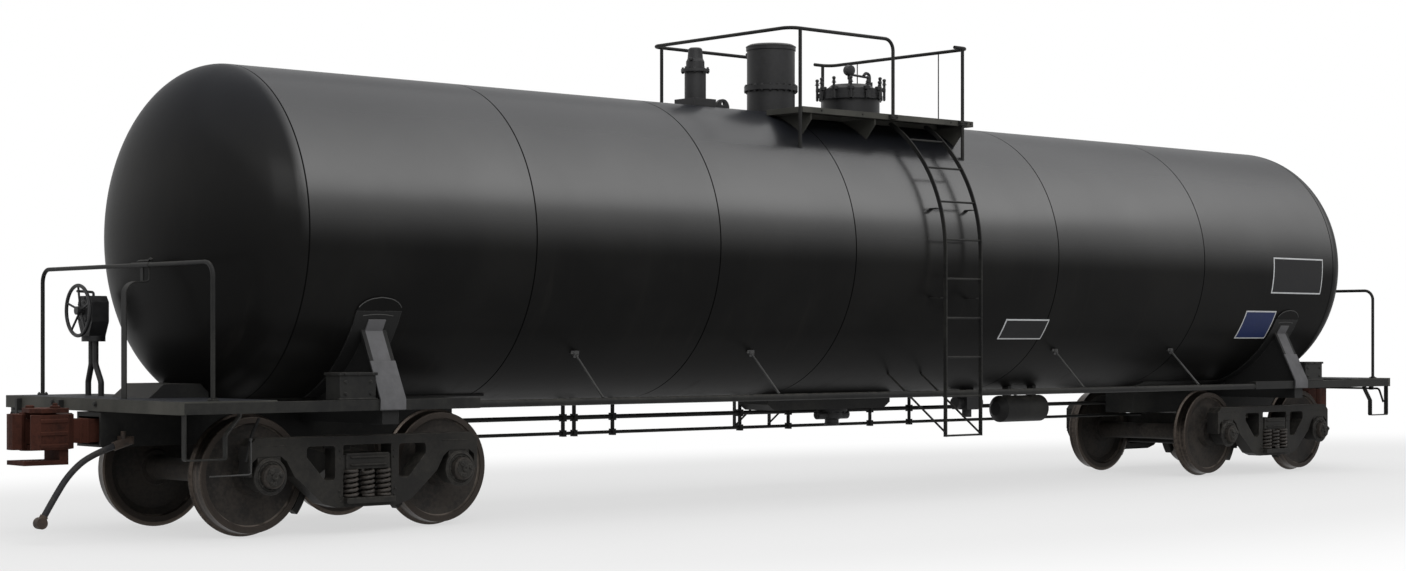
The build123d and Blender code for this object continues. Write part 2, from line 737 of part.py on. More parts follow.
def air_hose():
    radii = corner_radii(hose_points())
    print("air hose bend radii", [round(radius) for radius in radii])
    path = FilletPolyline(*hose_points(), radius=radii)
    hose = sweep(Plane(origin=path @ 0, z_dir=path % 0) * Circle(hose_radius), path=path)
    print("air hose volume over section times length", hose.volume / (math.pi * hose_radius ** 2 * path.length))
    return hose


def hose_fitting():
    (x0, z0), (x1, z1) = hose_route[-2:]
    run = math.hypot(x1 - x0, z1 - z0)
    along = ((x1 - x0) / run, (z1 - z0) / run)
    start = (x1, hose_y, z1)
    end = (x1 + along[0] * 60, hose_y, z1 + along[1] * 60)
    fitting = rod(start, end, 31)
    return fitting + rod((end[0], hose_y - 34, end[2]), (end[0], hose_y + 34, end[2]), 44)


# Truck, centred on x = 0

def side_frame():
    y0 = journal_y - frame_thickness / 2
    y1 = journal_y + frame_thickness / 2
    axle_z = tread_radius + flange_height
    half_base = wheel_base / 2
    roof = axle_z + bearing_radius + adapter_height
    jaw = bearing_radius + 26
    right = [(0, frame_top), (frame_half - 60, frame_top), (frame_half, frame_top - 60), (frame_half, axle_z),
             (half_base + jaw, axle_z), (half_base + jaw, roof - 40), (half_base + jaw - 50, roof),
             (half_base - jaw + 50, roof), (half_base - jaw, roof - 40), (half_base - jaw - 70, axle_z - 10),
             (410, 250), (285, frame_bottom), (0, frame_bottom)]
    left = [(-x, z) for x, z in reversed(right[1:-1])]
    frame = slab_y(right + left, y0, y1)
    opening = FilletPolyline((-window_half, y0 - 1, spring_seat_z), (window_half, y0 - 1, spring_seat_z),
                             (window_half, y0 - 1, window_top), (-window_half, y0 - 1, window_top), radius=10, close=True)
    frame -= extrude(make_face(opening), amount=frame_thickness + 2, dir=(0, 1, 0))
    for side in (1, -1):
        window = FilletPolyline((side * 298, y0 - 1, 702), (side * 560, y0 - 1, 702), (side * 560, y0 - 1, 620),
                                (side * 390, y0 - 1, 430), (side * 298, y0 - 1, 430), radius=32, close=True)
        frame -= extrude(make_face(window), amount=frame_thickness + 2, dir=(0, 1, 0))
    frame += block(-window_half, window_half, journal_y - 150, journal_y + 135, spring_seat_z - 45, spring_seat_z)
    return frame


def truck_bolster():
    profile = [(journal_y + 82, spring_top_z + fit), (journal_y + 82, bolster_end_top), (760, bolster_end_top), (480, bowl_z),
               (-480, bowl_z), (-760, bolster_end_top), (-journal_y - 82, bolster_end_top),
               (-journal_y - 82, spring_top_z + fit), (-800, spring_top_z + fit), (-560, 400), (560, 400),
               (800, spring_top_z + fit)]
    beam = slab_x(profile, -bolster_half_width, bolster_half_width)
    bowl = rod((0, 0, bowl_z - 40), (0, 0, bowl_z + bowl_rim), bowl_radius + bowl_wall)
    bowl -= rod((0, 0, bowl_z), (0, 0, bowl_z + bowl_rim + 1), bowl_radius)
    beam += bowl
    for y in (-635, 635):
        beam += block(-90, 90, y - 60, y + 60, bolster_end_top - 20, bolster_end_top + 130)
    return beam


def springs():
    columns = []
    for side in (1, -1):
        for row in (-spring_row, spring_row):
            for place in (-1, 0, 1):
                spot = (place * spring_pitch, side * (journal_y + row))
                columns.append(rod((*spot, spring_seat_z + fit), (*spot, spring_top_z), spring_radius))
    return together(columns)


def bearings():
    axle_z = tread_radius + flange_height
    half = bearing_length / 2
    pieces = []
    for x in (-wheel_base / 2, wheel_base / 2):
        cup = turned_y(x, axle_z, [(journal_y - half, journal_radius + running_fit), (journal_y - half, 112),
                                   (journal_y - half + 26, bearing_radius - fit), (journal_y + half - 26, bearing_radius - fit),
                                   (journal_y + half, 112), (journal_y + half, journal_radius + running_fit)])
        roof = axle_z + bearing_radius + adapter_height - fit
        adapter = block(x - 100, x + 100, journal_y - 70, journal_y + 70, axle_z + 60, roof)
        adapter -= rod((x, 0, axle_z), (x, journal_y + 200, axle_z), bearing_radius - fit - 1)
        pieces += both_sides(cup + adapter)
    return together(pieces)


def brake_shoe(y):
    # Curved block facing the tread, on the inner side of the wheel at +x.
    axle_z = tread_radius + flange_height
    centre = (wheel_base / 2, axle_z)
    inner = CenterArc(centre, tread_radius + shoe_gap, shoe_lean - shoe_angle, 2 * shoe_angle)
    outer = CenterArc(centre, tread_radius + shoe_gap + shoe_depth, shoe_lean - shoe_angle, 2 * shoe_angle)
    face = make_face([inner, outer, Line(inner @ 0, outer @ 0), Line(inner @ 1, outer @ 1)])
    return Pos(0, y, 0) * extrude(Plane.XZ * face, amount=shoe_width / 2, both=True)


def brake_beams():
    axle_z = tread_radius + flange_height
    shoe_y = flange_back + rim_width / 2 + 14
    x = wheel_base / 2 - tread_radius - shoe_gap - shoe_depth - 34
    z = axle_z - beam_drop
    reach = journal_y - frame_thickness / 2 - fit
    beam = rod((x, -reach, z), (x, reach, z), 27)
    beam += rod((x, 0, z), (x - 150, 0, z), 22)
    for side in (-1, 1):
        beam += rod((x, side * shoe_y, z), (x - 150, 0, z), 18)
        beam += block(x - 10, x + 60, side * shoe_y - 30, side * shoe_y + 30, z - 50, z + 50)
        beam += brake_shoe(side * shoe_y)
    return together([beam, mirror(beam, about=Plane.YZ)])


def wheelset():
    axle_z = tread_radius + flange_height
    front = flange_back + rim_width
    hub_in = flange_back - 10
    hub_out = hub_in + hub_length
    rim_in = tread_radius - rim_depth
    wheel = turned_y(0, axle_z, [
        (hub_in, seat_radius + running_fit), (hub_in, hub_radius), (hub_in + 40, hub_radius + 12),
        (flange_back + 64, rim_in - 60), (flange_back + 40, rim_in), (flange_back, rim_in + 6),
        (flange_back, tread_radius + 12), (flange_back + 10, tread_radius + flange_height),
        (flange_back + 20, tread_radius + flange_height - 3), (flange_back + 34, tread_radius + 4),
        (front - 8, tread_radius - 4), (front, tread_radius - 12), (front, rim_in + 8), (front - 30, rim_in),
        (front - 42, rim_in - 60), (hub_out - 60, hub_radius + 16), (hub_out, hub_radius), (hub_out, seat_radius + running_fit)])
    bearing_end = journal_y + bearing_length / 2
    end = bearing_end + cap_length
    right = [(bearing_end - bearing_length - 24, journal_radius), (bearing_end + 4, journal_radius), (bearing_end + 4, cap_radius),
             (end - 12, cap_radius), (end, cap_radius - 14), (end, 0)]
    outline = [(0, axle_radius), (hub_in - 60, axle_radius + 8), (hub_in - 20, seat_radius), (hub_out + 4, seat_radius),
               (hub_out + 8, 94), (bearing_end - bearing_length - 24, 94)] + right
    mirrored = [(-y, r) for y, r in reversed(outline[1:])]
    axle = turned_y(0, axle_z, mirrored + outline)
    return together([axle] + both_sides(wheel))


# Every piece of the car, by node name

pieces = {
    "tank_shell": tank_shell(),
    **both_ends("tank_head", tank_head()),
    **both_ends("stub_sill", stub_sill()),
    **both_ends("body_bolster", body_bolster()),
    **both_ends("end_platform", end_platform()),
    "side_sills": side_sills(),
    "sill_steps": sill_steps(),
    **both_ends("end_handrail", end_handrail()),
    "handrail_straps": together(both_ends("strap", rail_strap()).values()),
    "side_rails": side_rails(),
    "rail_stays": rail_stays(),
    "ladders": ladders(),
    "top_platform": top_platform(),
    "top_handrail": top_handrail(),
    "relief_valve": relief_valve(),
    "lifting_lug": lifting_lug(),
    "valve_housing": valve_housing(),
    "housing_lid": housing_lid(),
    "manway_neck": manway_neck(),
    "manway_cover": manway_cover(),
    "outlet_skid": outlet_skid(),
    "bottom_outlet": bottom_outlet(),
    "brake_lines": brake_lines(),
    "brake_hangers": brake_hangers(),
    "air_reservoir": air_reservoir(),
    "control_valve": control_valve(),
    "hand_brake": hand_brake(),
    "hand_wheel": hand_wheel(),
    "uncoupling_levers": together(both_ends("lever", uncoupling_lever()).values()),
    "angle_cocks": together(both_ends("cock", angle_cock()).values()),
    **both_ends("air_hose", air_hose()),
    "hose_fittings": together(both_ends("fitting", hose_fitting()).values()),
    **both_ends("coupler", coupler()),
    **both_ends("knuckle", knuckle()),
}

frame_pair = together(both_sides(side_frame()))
for end, x in (("b", -truck_x), ("a", truck_x)):
    pieces["side_frames_" + end] = placed(Pos(x, 0, 0), frame_pair)
    pieces["truck_bolster_" + end] = placed(Pos(x, 0, 0), truck_bolster())
    pieces["springs_" + end] = placed(Pos(x, 0, 0), springs())
    pieces["bearings_" + end] = placed(Pos(x, 0, 0), bearings())
    pieces["brake_beams_" + end] = placed(Pos(x, 0, 0), brake_beams())

axle_places = [truck + side * wheel_base / 2 for truck in (-truck_x, truck_x) for side in (-1, 1)]
for number, x in enumerate(axle_places, start=1):
    pieces["wheelset_" + str(number)] = placed(Pos(x, 0, 0), wheelset())

os.makedirs("parts", exist_ok=True)
for name, shape in pieces.items():
    export_step(shape, "parts/" + name + ".step")
print(len(pieces), "nodes")
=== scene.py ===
import math
import random
import bmesh
import bpy
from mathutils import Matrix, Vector


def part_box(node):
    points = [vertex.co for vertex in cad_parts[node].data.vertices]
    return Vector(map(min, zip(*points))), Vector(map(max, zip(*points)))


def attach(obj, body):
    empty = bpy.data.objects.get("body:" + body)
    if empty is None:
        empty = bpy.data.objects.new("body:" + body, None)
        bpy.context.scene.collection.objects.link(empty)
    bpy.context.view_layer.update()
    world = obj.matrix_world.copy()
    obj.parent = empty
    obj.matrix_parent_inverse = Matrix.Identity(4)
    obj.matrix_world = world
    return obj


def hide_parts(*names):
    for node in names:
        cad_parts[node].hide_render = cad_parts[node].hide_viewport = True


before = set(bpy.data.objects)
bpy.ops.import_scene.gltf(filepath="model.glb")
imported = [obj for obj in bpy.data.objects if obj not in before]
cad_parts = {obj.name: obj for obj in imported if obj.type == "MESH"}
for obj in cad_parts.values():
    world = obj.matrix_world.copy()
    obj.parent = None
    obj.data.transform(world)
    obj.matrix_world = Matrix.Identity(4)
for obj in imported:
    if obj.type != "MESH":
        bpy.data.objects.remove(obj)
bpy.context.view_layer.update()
random.seed(7)
print("frame loaded:", len(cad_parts), "nodes")


# places read from the frame
def middle(node, axis):
    low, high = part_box(node)
    return (low[axis] + high[axis]) / 2


shellLow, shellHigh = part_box("tank_shell")
tankRadius = (shellHigh.z - shellLow.z) / 2
tankAxisZ = (shellHigh.z + shellLow.z) / 2
crownZ = shellHigh.z
seamEnd = shellHigh.x
axleX = [middle("wheelset_%d" % n, 0) for n in (1, 2, 3, 4)]
axleZ = middle("wheelset_1", 2)
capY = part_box("wheelset_1")[1].y
truckX = (axleX[2] + axleX[3]) / 2
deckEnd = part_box("end_platform_a")[1].x
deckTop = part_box("end_platform_a")[1].z
railX = middle("end_handrail_a", 0)
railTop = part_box("end_handrail_a")[1].z
carEnds = (("a", 1), ("b", -1))  # end, and its way along x
trucks = (("b", -truckX), ("a", truckX))


# shader tools

class Wire:
    # a socket's value, with plain arithmetic
    def __init__(self, tree, socket):
        self.tree = tree
        self.socket = socket

    def maths(self, operation, first, second, clamp=False):
        return self.tree.add("ShaderNodeMath", {"operation": operation, "use_clamp": clamp}, {0: first, 1: second})

    def __add__(self, other):
        return self.maths("ADD", self, other)

    def __radd__(self, other):
        return self.maths("ADD", other, self)

    def __sub__(self, other):
        return self.maths("SUBTRACT", self, other)

    def __rsub__(self, other):
        return self.maths("SUBTRACT", other, self)

    def __mul__(self, other):
        return self.maths("MULTIPLY", self, other)

    def __rmul__(self, other):
        return self.maths("MULTIPLY", other, self)

    def __pow__(self, other):
        return self.maths("POWER", self, other)

    def __abs__(self):
        return self.maths("ABSOLUTE", self, 0.0)

    def larger(self, other):
        return self.maths("MAXIMUM", self, other)

    def smaller(self, other):
        return self.maths("MINIMUM", self, other)

    def capped(self):
        return self.maths("ADD", self, 0.0, clamp=True)


class Tree:
    # adds nodes to one node tree
    def __init__(self, tree):
        self.tree = tree

    def add(self, kind, settings, inputs, out=0):
        node = self.tree.nodes.new(kind)
        for key, value in settings.items():
            setattr(node, key, value)
        for key, value in inputs.items():
            self.join(value, node.inputs[key])
        return Wire(self, node.outputs[out])

    def join(self, value, socket):
        if isinstance(value, Wire):
            self.tree.links.new(value.socket, socket)
        elif isinstance(value, tuple) and socket.type == "RGBA":
            socket.default_value = (*value, 1)
        else:
            socket.default_value = value

    def outputs(self, wire, *names):
        return [Wire(self, wire.socket.node.outputs[name]) for name in names]

    def direct(self):
        # 1 for rays from the camera and through gloss or glass
        path = self.add("ShaderNodeLightPath", {}, {})
        camera, glossy, through = self.outputs(path, "Is Camera Ray", "Is Glossy Ray", "Is Transmission Ray")
        return camera.larger(glossy).larger(through)

    def place(self):
        return self.add("ShaderNodeTexCoord", {}, {}, "Object")

    def split(self, vector):
        return self.outputs(self.add("ShaderNodeSeparateXYZ", {}, {"Vector": vector}), "X", "Y", "Z")

    def scaled(self, vector, scale):
        return self.add("ShaderNodeVectorMath", {"operation": "MULTIPLY"}, {0: vector, 1: scale})

    def noise(self, vector, scale, detail=4.0, rough=0.55):
        return self.add("ShaderNodeTexNoise", {}, {"Vector": vector, "Scale": scale, "Detail": detail, "Roughness": rough})

    def ramp(self, value, low, high):
        # 0 at low, 1 at high, smooth between
        return self.add("ShaderNodeMapRange", {"interpolation_type": "SMOOTHSTEP"},
                        {"Value": value, "From Min": low, "From Max": high})

    def blend(self, factor, first, second):
        return self.add("ShaderNodeMix", {"data_type": "RGBA"}, {0: factor, 6: first, 7: second}, 2)

    def facing(self, axis):
        normal = self.add("ShaderNodeNewGeometry", {}, {}, "Normal")
        return self.split(normal)["XYZ".index(axis)]

    def edges(self, radius):
        # 0 on faces, rising to 1 along edges, with the rounded normal
        rounded = self.add("ShaderNodeBevel", {"samples": 4}, {"Radius": radius})
        flat = self.add("ShaderNodeNewGeometry", {}, {}, "Normal")
        match = self.add("ShaderNodeVectorMath", {"operation": "DOT_PRODUCT"}, {0: rounded, 1: flat}, "Value")
        return ((1 - match) * 5.0).capped(), rounded

    def bump(self, height, distance, normal=None):
        inputs = {"Height": height, "Distance": distance, "Strength": 1.0}
        if normal:
            inputs["Normal"] = normal
        return self.add("ShaderNodeBump", {}, inputs)


class Finish(Tree):
    # one material and its shader
    def __init__(self, name, fixed):
        self.material = bpy.data.materials.new(name)
        self.material.use_nodes = True
        super().__init__(self.material.node_tree)
        self.shader = self.tree.nodes["Principled BSDF"]
        for socket, value in fixed.items():
            self.join(value, self.shader.inputs[socket])

    def feed(self, **values):
        for key, value in values.items():
            self.join(value, self.shader.inputs[key.replace("_", " ")])


# finishes of the plain painted and cast pieces
weatheredFinishes = {
    "frameBlack": {"colour": (0.0125, 0.0125, 0.0125), "shade": (0.024, 0.024, 0.022), "grain": 5.0,
                   "dust": (0.075, 0.070, 0.060), "dustAmount": 0.35, "wear": (0.075, 0.072, 0.066), "wearAmount": 0.5,
                   "rough": (0.40, 0.68), "pits": 0.0006, "specular": 0.12, "edge": 0.006},
    "stayGrey": {"colour": (0.060, 0.060, 0.060), "shade": (0.028, 0.028, 0.027), "grain": 9.0,
                 "dust": (0.12, 0.115, 0.105), "dustAmount": 0.35, "wear": (0.20, 0.20, 0.19), "wearAmount": 0.6,
                 "rough": (0.36, 0.6), "pits": 0.0005, "specular": 0.22, "edge": 0.004},
    "saddleGrey": {"colour": (0.115, 0.114, 0.119), "shade": (0.086, 0.086, 0.089), "grain": 3.0,
                   "dust": (0.15, 0.14, 0.125), "dustAmount": 0.3, "wear": (0.19, 0.19, 0.185), "wearAmount": 0.45,
                   "rough": (0.48, 0.72), "pits": 0.0006, "specular": 0.15, "edge": 0.005},
    "truckCast": {"colour": (0.0135, 0.0130, 0.0125), "shade": (0.028, 0.0265, 0.0235), "grain": 7.0,
                  "dust": (0.085, 0.078, 0.066), "dustAmount": 0.5, "wear": (0.10, 0.095, 0.086), "wearAmount": 0.55,
                  "rough": (0.40, 0.75), "pits": 0.0020, "specular": 0.14, "edge": 0.010},
    "fittingBlack": {"colour": (0.0125, 0.0125, 0.0132), "shade": (0.023, 0.023, 0.024), "grain": 6.0,
                     "dust": (0.070, 0.067, 0.060), "dustAmount": 0.3, "wear": (0.07, 0.07, 0.068), "wearAmount": 0.5,
                     "rough": (0.36, 0.6), "pits": 0.0008, "specular": 0.24, "edge": 0.006},
    "couplerRust": {"colour": (0.052, 0.0175, 0.0115), "shade": (0.021, 0.0088, 0.0066), "grain": 9.0,
                    "dust": (0.105, 0.038, 0.025), "dustAmount": 0.5, "wear": (0.12, 0.048, 0.032), "wearAmount": 0.6,
                    "rough": (0.6, 0.9), "pits": 0.0030, "specular": 0.10, "edge": 0.010},
    "hoseMetal": {"colour": (0.055, 0.040, 0.031), "shade": (0.024, 0.020, 0.018), "grain": 30.0,
                  "dust": (0.13, 0.10, 0.08), "dustAmount": 0.4, "wear": (0.20, 0.17, 0.14), "wearAmount": 0.6,
                  "rough": (0.45, 0.8), "pits": 0.0010, "specular": 0.2, "edge": 0.003},
    "springSteel": {"colour": (0.020, 0.018, 0.017), "shade": (0.045, 0.039, 0.034), "grain": 14.0,
                    "dust": (0.11, 0.095, 0.080), "dustAmount": 0.7, "wear": (0.12, 0.11, 0.10), "wearAmount": 0.3,
                    "rough": (0.36, 0.62), "pits": 0.0008, "specular": 0.25, "edge": 0.003},
}


def weathered(name, look, zone=None):
    finish = Finish(name, {"Specular IOR Level": look["specular"]})
    place = finish.place()
    broad = finish.noise(place, look["grain"] * 0.35, 3.0)
    fine = finish.noise(place, look["grain"] * 4.0, 6.0, 0.65)
    patches = finish.ramp(broad * 0.6 + fine * 0.4, 0.40, 0.66)
    edge, rounded = finish.edges(look["edge"])
    settled = finish.ramp(finish.facing("Z"), 0.35, 0.95) * finish.ramp(fine, 0.36, 0.62) * look["dustAmount"]
    scuffs = edge * finish.ramp(fine, 0.34, 0.58) * look["wearAmount"]
    colour = finish.blend(patches, look["colour"], look["shade"])
    if zone:
        colour = finish.blend(zone(finish, place), weatheredFinishes["frameBlack"]["colour"], colour)
    colour = finish.blend(settled, colour, look["dust"])
    colour = finish.blend(scuffs, colour, look["wear"])
    low, high = look["rough"]
    finish.feed(Base_Color=colour, Roughness=low + (high - low) * fine + settled * 0.2,
                Normal=finish.bump(fine, look["pits"], rounded))
    return finish.material


# outer face of the saddle strap: y and z at its foot, inward lean, top, and half widths painted below and above the step
strapLine = {"x": 6.150, "foot": (1.436, 1.065), "lean": 0.500, "top": 1.606, "step": 1.365, "wide": 0.118, "narrow": 0.080,
             "depth": (-0.011, -0.008), "soft": 0.002}


def strapZone(finish, place):
    # 1 on the leaning strap, 0 on the pad and web behind it
    x, y, z = finish.split(place)
    footY, footZ = strapLine["foot"]
    step, high, soft = strapLine["step"], strapLine["top"], strapLine["soft"]
    reach = footY - (z - footZ).larger(0.0) * strapLine["lean"]
    half = strapLine["wide"] - finish.ramp(z, step - soft, step) * (strapLine["wide"] - strapLine["narrow"])
    across = finish.ramp(abs(abs(x) - strapLine["x"]) - half, soft, 0.0)
    return finish.ramp(abs(y) - reach, *strapLine["depth"]) * across * finish.ramp(z, high + 2 * soft, high)


finishes = {name: weathered(name, look) for name, look in weatheredFinishes.items() if name != "saddleGrey"}
finishes["saddleGrey"] = weathered("saddleGrey", weatheredFinishes["saddleGrey"], strapZone)
finishes["strapGrey"] = weathered("strapGrey", weatheredFinishes["saddleGrey"])

tankLook = {"black": (0.0062, 0.0061, 0.0060), "worn": (0.0100, 0.0098, 0.0094), "streak": (0.018, 0.017, 0.0155),
            "paintedSkyTint": (0.0082, 0.0090, 0.0115), "paintedSkyFrom": 0.40, "seam": (0.0012, 0.0012, 0.0012), "seamHalf": 0.009,
            "seams": (-4.690, -2.650, -0.950, 1.970, 4.420), "rough": 0.34, "roughSpread": 0.14, "ripple": 0.0016,
            "sheen": 0.86, "endSheen": 0.045, "crownSheen": 0.20, "dull": 0.015,
            "reflectionLine": (-0.15, 0.48), "headFade": (-0.02, 0.10), "crownFade": (0.35, -0.05)}  # from the axis, seam and crown


def tankBlack():
    finish = Finish("tankBlack", {"Specular IOR Level": 0.03, "Coat Roughness": 0.24, "Coat IOR": 1.9})
    place = finish.place()
    x, _, z = finish.split(place)
    cloud = finish.noise(place, 0.9, 4.0)
    grit = finish.noise(place, 26.0, 5.0)
    runs = finish.noise(finish.scaled(place, (9.0, 2.0, 0.35)), 1.0, 5.0, 0.6)  # streaks down the sides
    streaks = finish.ramp(runs, 0.56, 0.76) * finish.ramp(z, crownZ, tankAxisZ - tankRadius) * 0.45
    ripple = finish.noise(finish.scaled(place, (0.5, 1.1, 1.1)), 1.6, 2.0)
    near = abs(abs(x) - seamEnd)
    for seam in tankLook["seams"]:
        near = near.smaller(abs(x - seam))
    line = finish.ramp(near, tankLook["seamHalf"], tankLook["seamHalf"] * 0.45)
    upper = finish.ramp(z, *(tankAxisZ + step for step in tankLook["reflectionLine"]))  # coat and its reflection fade out below this line: painted darker reflection of the ground on the lower half
    ends = finish.ramp(abs(x), *(seamEnd + step for step in tankLook["headFade"]))  # and on the heads: painted shade, with less reflection there
    colour = finish.blend(finish.ramp(cloud, 0.35, 0.7), tankLook["black"], tankLook["worn"])
    # painted reflection: a bluish sky tint in the colour of the upper sides and crown
    colour = finish.blend(finish.ramp(z, tankAxisZ + tankLook["paintedSkyFrom"], crownZ), colour, tankLook["paintedSkyTint"])
    colour = finish.blend(streaks, colour, tankLook["streak"])
    colour = finish.blend(line, colour, tankLook["seam"])
    rough = tankLook["rough"] + tankLook["roughSpread"] * cloud + streaks * 0.2 + grit * 0.05 + line * 0.3
    sheen = tankLook["sheen"] - ends * (tankLook["sheen"] - tankLook["endSheen"])
    fadeLow, fadeHigh = tankLook["crownFade"]  # coat thinner towards the crown, dimming the reflection there
    high = 1 - finish.ramp(z, tankAxisZ + fadeLow, crownZ + fadeHigh) * (1 - tankLook["crownSheen"])
    coat = (tankLook["dull"] + upper * high * sheen * (0.86 + cloud * 0.28)) * (1 - line)
    finish.feed(Base_Color=colour, Roughness=rough, Coat_Weight=coat,
                Normal=finish.bump(ripple + grit * 0.02, tankLook["ripple"]))
    return finish.material


wheelLook = {"plate": (0.018, 0.0165, 0.0155), "plateDust": (0.042, 0.036, 0.031), "rim": (0.034, 0.026, 0.021),
             "tread": (0.062, 0.051, 0.043), "treadDark": (0.015, 0.013, 0.012), "wornMetalAndHighlight": (0.24, 0.205, 0.175),
             "rimInner": 0.398, "rimFade": (-0.012, 0.014), "treadRadius": 0.449, "treadFade": (-0.003, 0.003),
             "lipHighlight": 0.396, "lipHalf": (0.0060, 0.0025)}


def wheelSteel():
    # radius from the axle decides between hub, plate, rim and tread
    finish = Finish("wheelSteel", {"Specular IOR Level": 0.18})
    place = finish.place()
    x, _, z = finish.split(place)
    across = abs(abs(x) - truckX) - (axleX[3] - truckX)
    up = z - axleZ
    radius = (across * across + up * up) ** 0.5
    fine = finish.noise(place, 34.0, 6.0, 0.62)
    broad = finish.noise(place, 4.0, 3.0)
    rings = finish.noise(finish.scaled(place, (0.0, 30.0, 0.0)), 1.0, 2.0)
    rim = finish.ramp(radius, *(wheelLook["rimInner"] + step for step in wheelLook["rimFade"]))
    tread = finish.ramp(radius, *(wheelLook["treadRadius"] + step for step in wheelLook["treadFade"]))
    dusty = finish.ramp(broad * 0.5 + fine * 0.5, 0.38, 0.62)
    edge, rounded = finish.edges(0.006)
    colour = finish.blend(dusty, wheelLook["plate"], wheelLook["plateDust"])
    colour = finish.blend(rim * (0.45 + fine * 0.4), colour, wheelLook["rim"])
    worn = finish.blend(finish.ramp(rings * 0.6 + fine * 0.4, 0.36, 0.6), wheelLook["treadDark"], wheelLook["tread"])
    colour = finish.blend(tread, colour, worn)
    # painted highlight: a thin bright line round the rim's inner lip
    lipHighlight = finish.ramp(abs(radius - wheelLook["lipHighlight"]), *wheelLook["lipHalf"]) * finish.ramp(broad, 0.40, 0.58)
    colour = finish.blend(lipHighlight * 0.7, colour, wheelLook["wornMetalAndHighlight"])
    # worn bright metal along the rim's edges
    colour = finish.blend(edge * rim * 0.35, colour, wheelLook["wornMetalAndHighlight"])
    finish.feed(Base_Color=colour, Roughness=0.62 - tread * 0.25 - rim * 0.1 + fine * 0.12,
                Metallic=tread * 0.75 + rim * 0.15, Normal=finish.bump(fine, 0.0012, rounded))
    return finish.material


deckLook = {"grit": (0.016, 0.017, 0.020), "speck": (0.24, 0.25, 0.27), "side": (0.042, 0.042, 0.037),
            "dust": (0.070, 0.068, 0.060)}


def deckGrip():
    # gritty walking surface on top, dull olive-black paint on the sides
    finish = Finish("deckGrip", {"Specular IOR Level": 0.15})
    place = finish.place()
    upward = finish.ramp(finish.facing("Z"), 0.6, 0.9)
    cells = finish.add("ShaderNodeTexVoronoi", {"feature": "F1"}, {"Vector": place, "Scale": 95.0}, "Distance")
    wornMetalAndHighlight = finish.noise(place, 14.0, 4.0)
    fine = finish.noise(place, 60.0, 5.0, 0.6)
    broad = finish.noise(place, 2.4, 3.0)
    edge, rounded = finish.edges(0.006)
    specks = finish.ramp(cells, 0.20, 0.10) * finish.ramp(wornMetalAndHighlight, 0.54, 0.64) * upward
    colour = finish.blend(finish.ramp(broad, 0.35, 0.7), deckLook["side"], deckLook["dust"])
    colour = finish.blend(upward, colour, deckLook["grit"])
    colour = finish.blend(specks, colour, deckLook["speck"])
    colour = finish.blend(edge * finish.ramp(fine, 0.4, 0.6) * 0.4, colour, deckLook["dust"])
    finish.feed(Base_Color=colour, Roughness=0.5 + fine * 0.35 - specks * 0.2,
                Normal=finish.bump(cells * upward * -1.0 + fine * 0.3, 0.0025, rounded))
    return finish.material


hoseLook = {"rubber": (0.016, 0.016, 0.018), "dust": (0.060, 0.056, 0.050)}


def hoseRubber():
    finish = Finish("hoseRubber", {"Specular IOR Level": 0.15})
    place = finish.place()
    fine = finish.noise(place, 70.0, 5.0)
    broad = finish.noise(place, 9.0, 3.0)
    chalky = finish.ramp(broad * 0.6 + fine * 0.4, 0.44, 0.68) * 0.55
    finish.feed(Base_Color=finish.blend(chalky, hoseLook["rubber"], hoseLook["dust"]), Roughness=0.48 + chalky * 0.4,
                Normal=finish.bump(fine, 0.0006))
    return finish.material


def signPaint(name, colour, spots):
    finish = Finish(name, {"Specular IOR Level": 0.15})
    place = finish.place()
    fine = finish.noise(place, 40.0, 5.0)
    broad = finish.noise(place, 5.0, 3.0)
    grime = finish.ramp(broad * 0.5 + fine * 0.5, 0.5, 0.72) * 0.45
    finish.feed(Base_Color=finish.blend(grime, colour, spots), Roughness=0.42 + fine * 0.2, Normal=finish.bump(fine, 0.0003))
    return finish.material


finishes["tankBlack"] = tankBlack()
finishes["wheelSteel"] = wheelSteel()
finishes["deckGrip"] = deckGrip()
finishes["hoseRubber"] = hoseRubber()
# paint and grime of the plates
signLooks = {"signBlack": ((0.008, 0.008, 0.009), (0.022, 0.021, 0.020)),
             "signBlue": ((0.014, 0.024, 0.085), (0.022, 0.028, 0.055)),
             "signWhite": ((0.58, 0.59, 0.60), (0.34, 0.33, 0.31))}
for name, (colour, spots) in signLooks.items():
    finishes[name] = signPaint(name, colour, spots)

# finish of each node, by how its name starts
nodeFinish = {"tankBlack": ("tank_",), "wheelSteel": ("wheelset",), "deckGrip": ("end_platform", "top_platform"),
              "saddleGrey": ("body_bolster",), "couplerRust": ("coupler_", "knuckle_"),
              "truckCast": ("side_frames", "truck_bolster", "bearings", "brake_beams"), "springSteel": ("springs",),
              "hoseRubber": ("air_hose",), "hoseMetal": ("hose_", "angle_cocks"), "stayGrey": ("rail_stays",),
              "fittingBlack": ("relief", "lifting", "valve_", "housing", "manway", "bottom_outlet", "hand_", "control_valve"),
              "frameBlack": ("",)}
for node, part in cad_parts.items():
    finishName = next(name for name, starts in nodeFinish.items() if node.startswith(starts))
    part.data.materials.clear()
    part.data.materials.append(finishes[finishName])
print("finishes made:", len(finishes))


# mesh tools

def roundPoints(centre, axis, radius, count, start=0.0):
    # points on a circle round an axis
    axis = Vector(axis).normalized()
    side = axis.orthogonal().normalized()
    other = axis.cross(side)
    angles = [start + 2 * math.pi * k / count for k in range(count)]
    return [Vector(centre) + (side * math.cos(a) + other * math.sin(a)) * radius for a in angles]


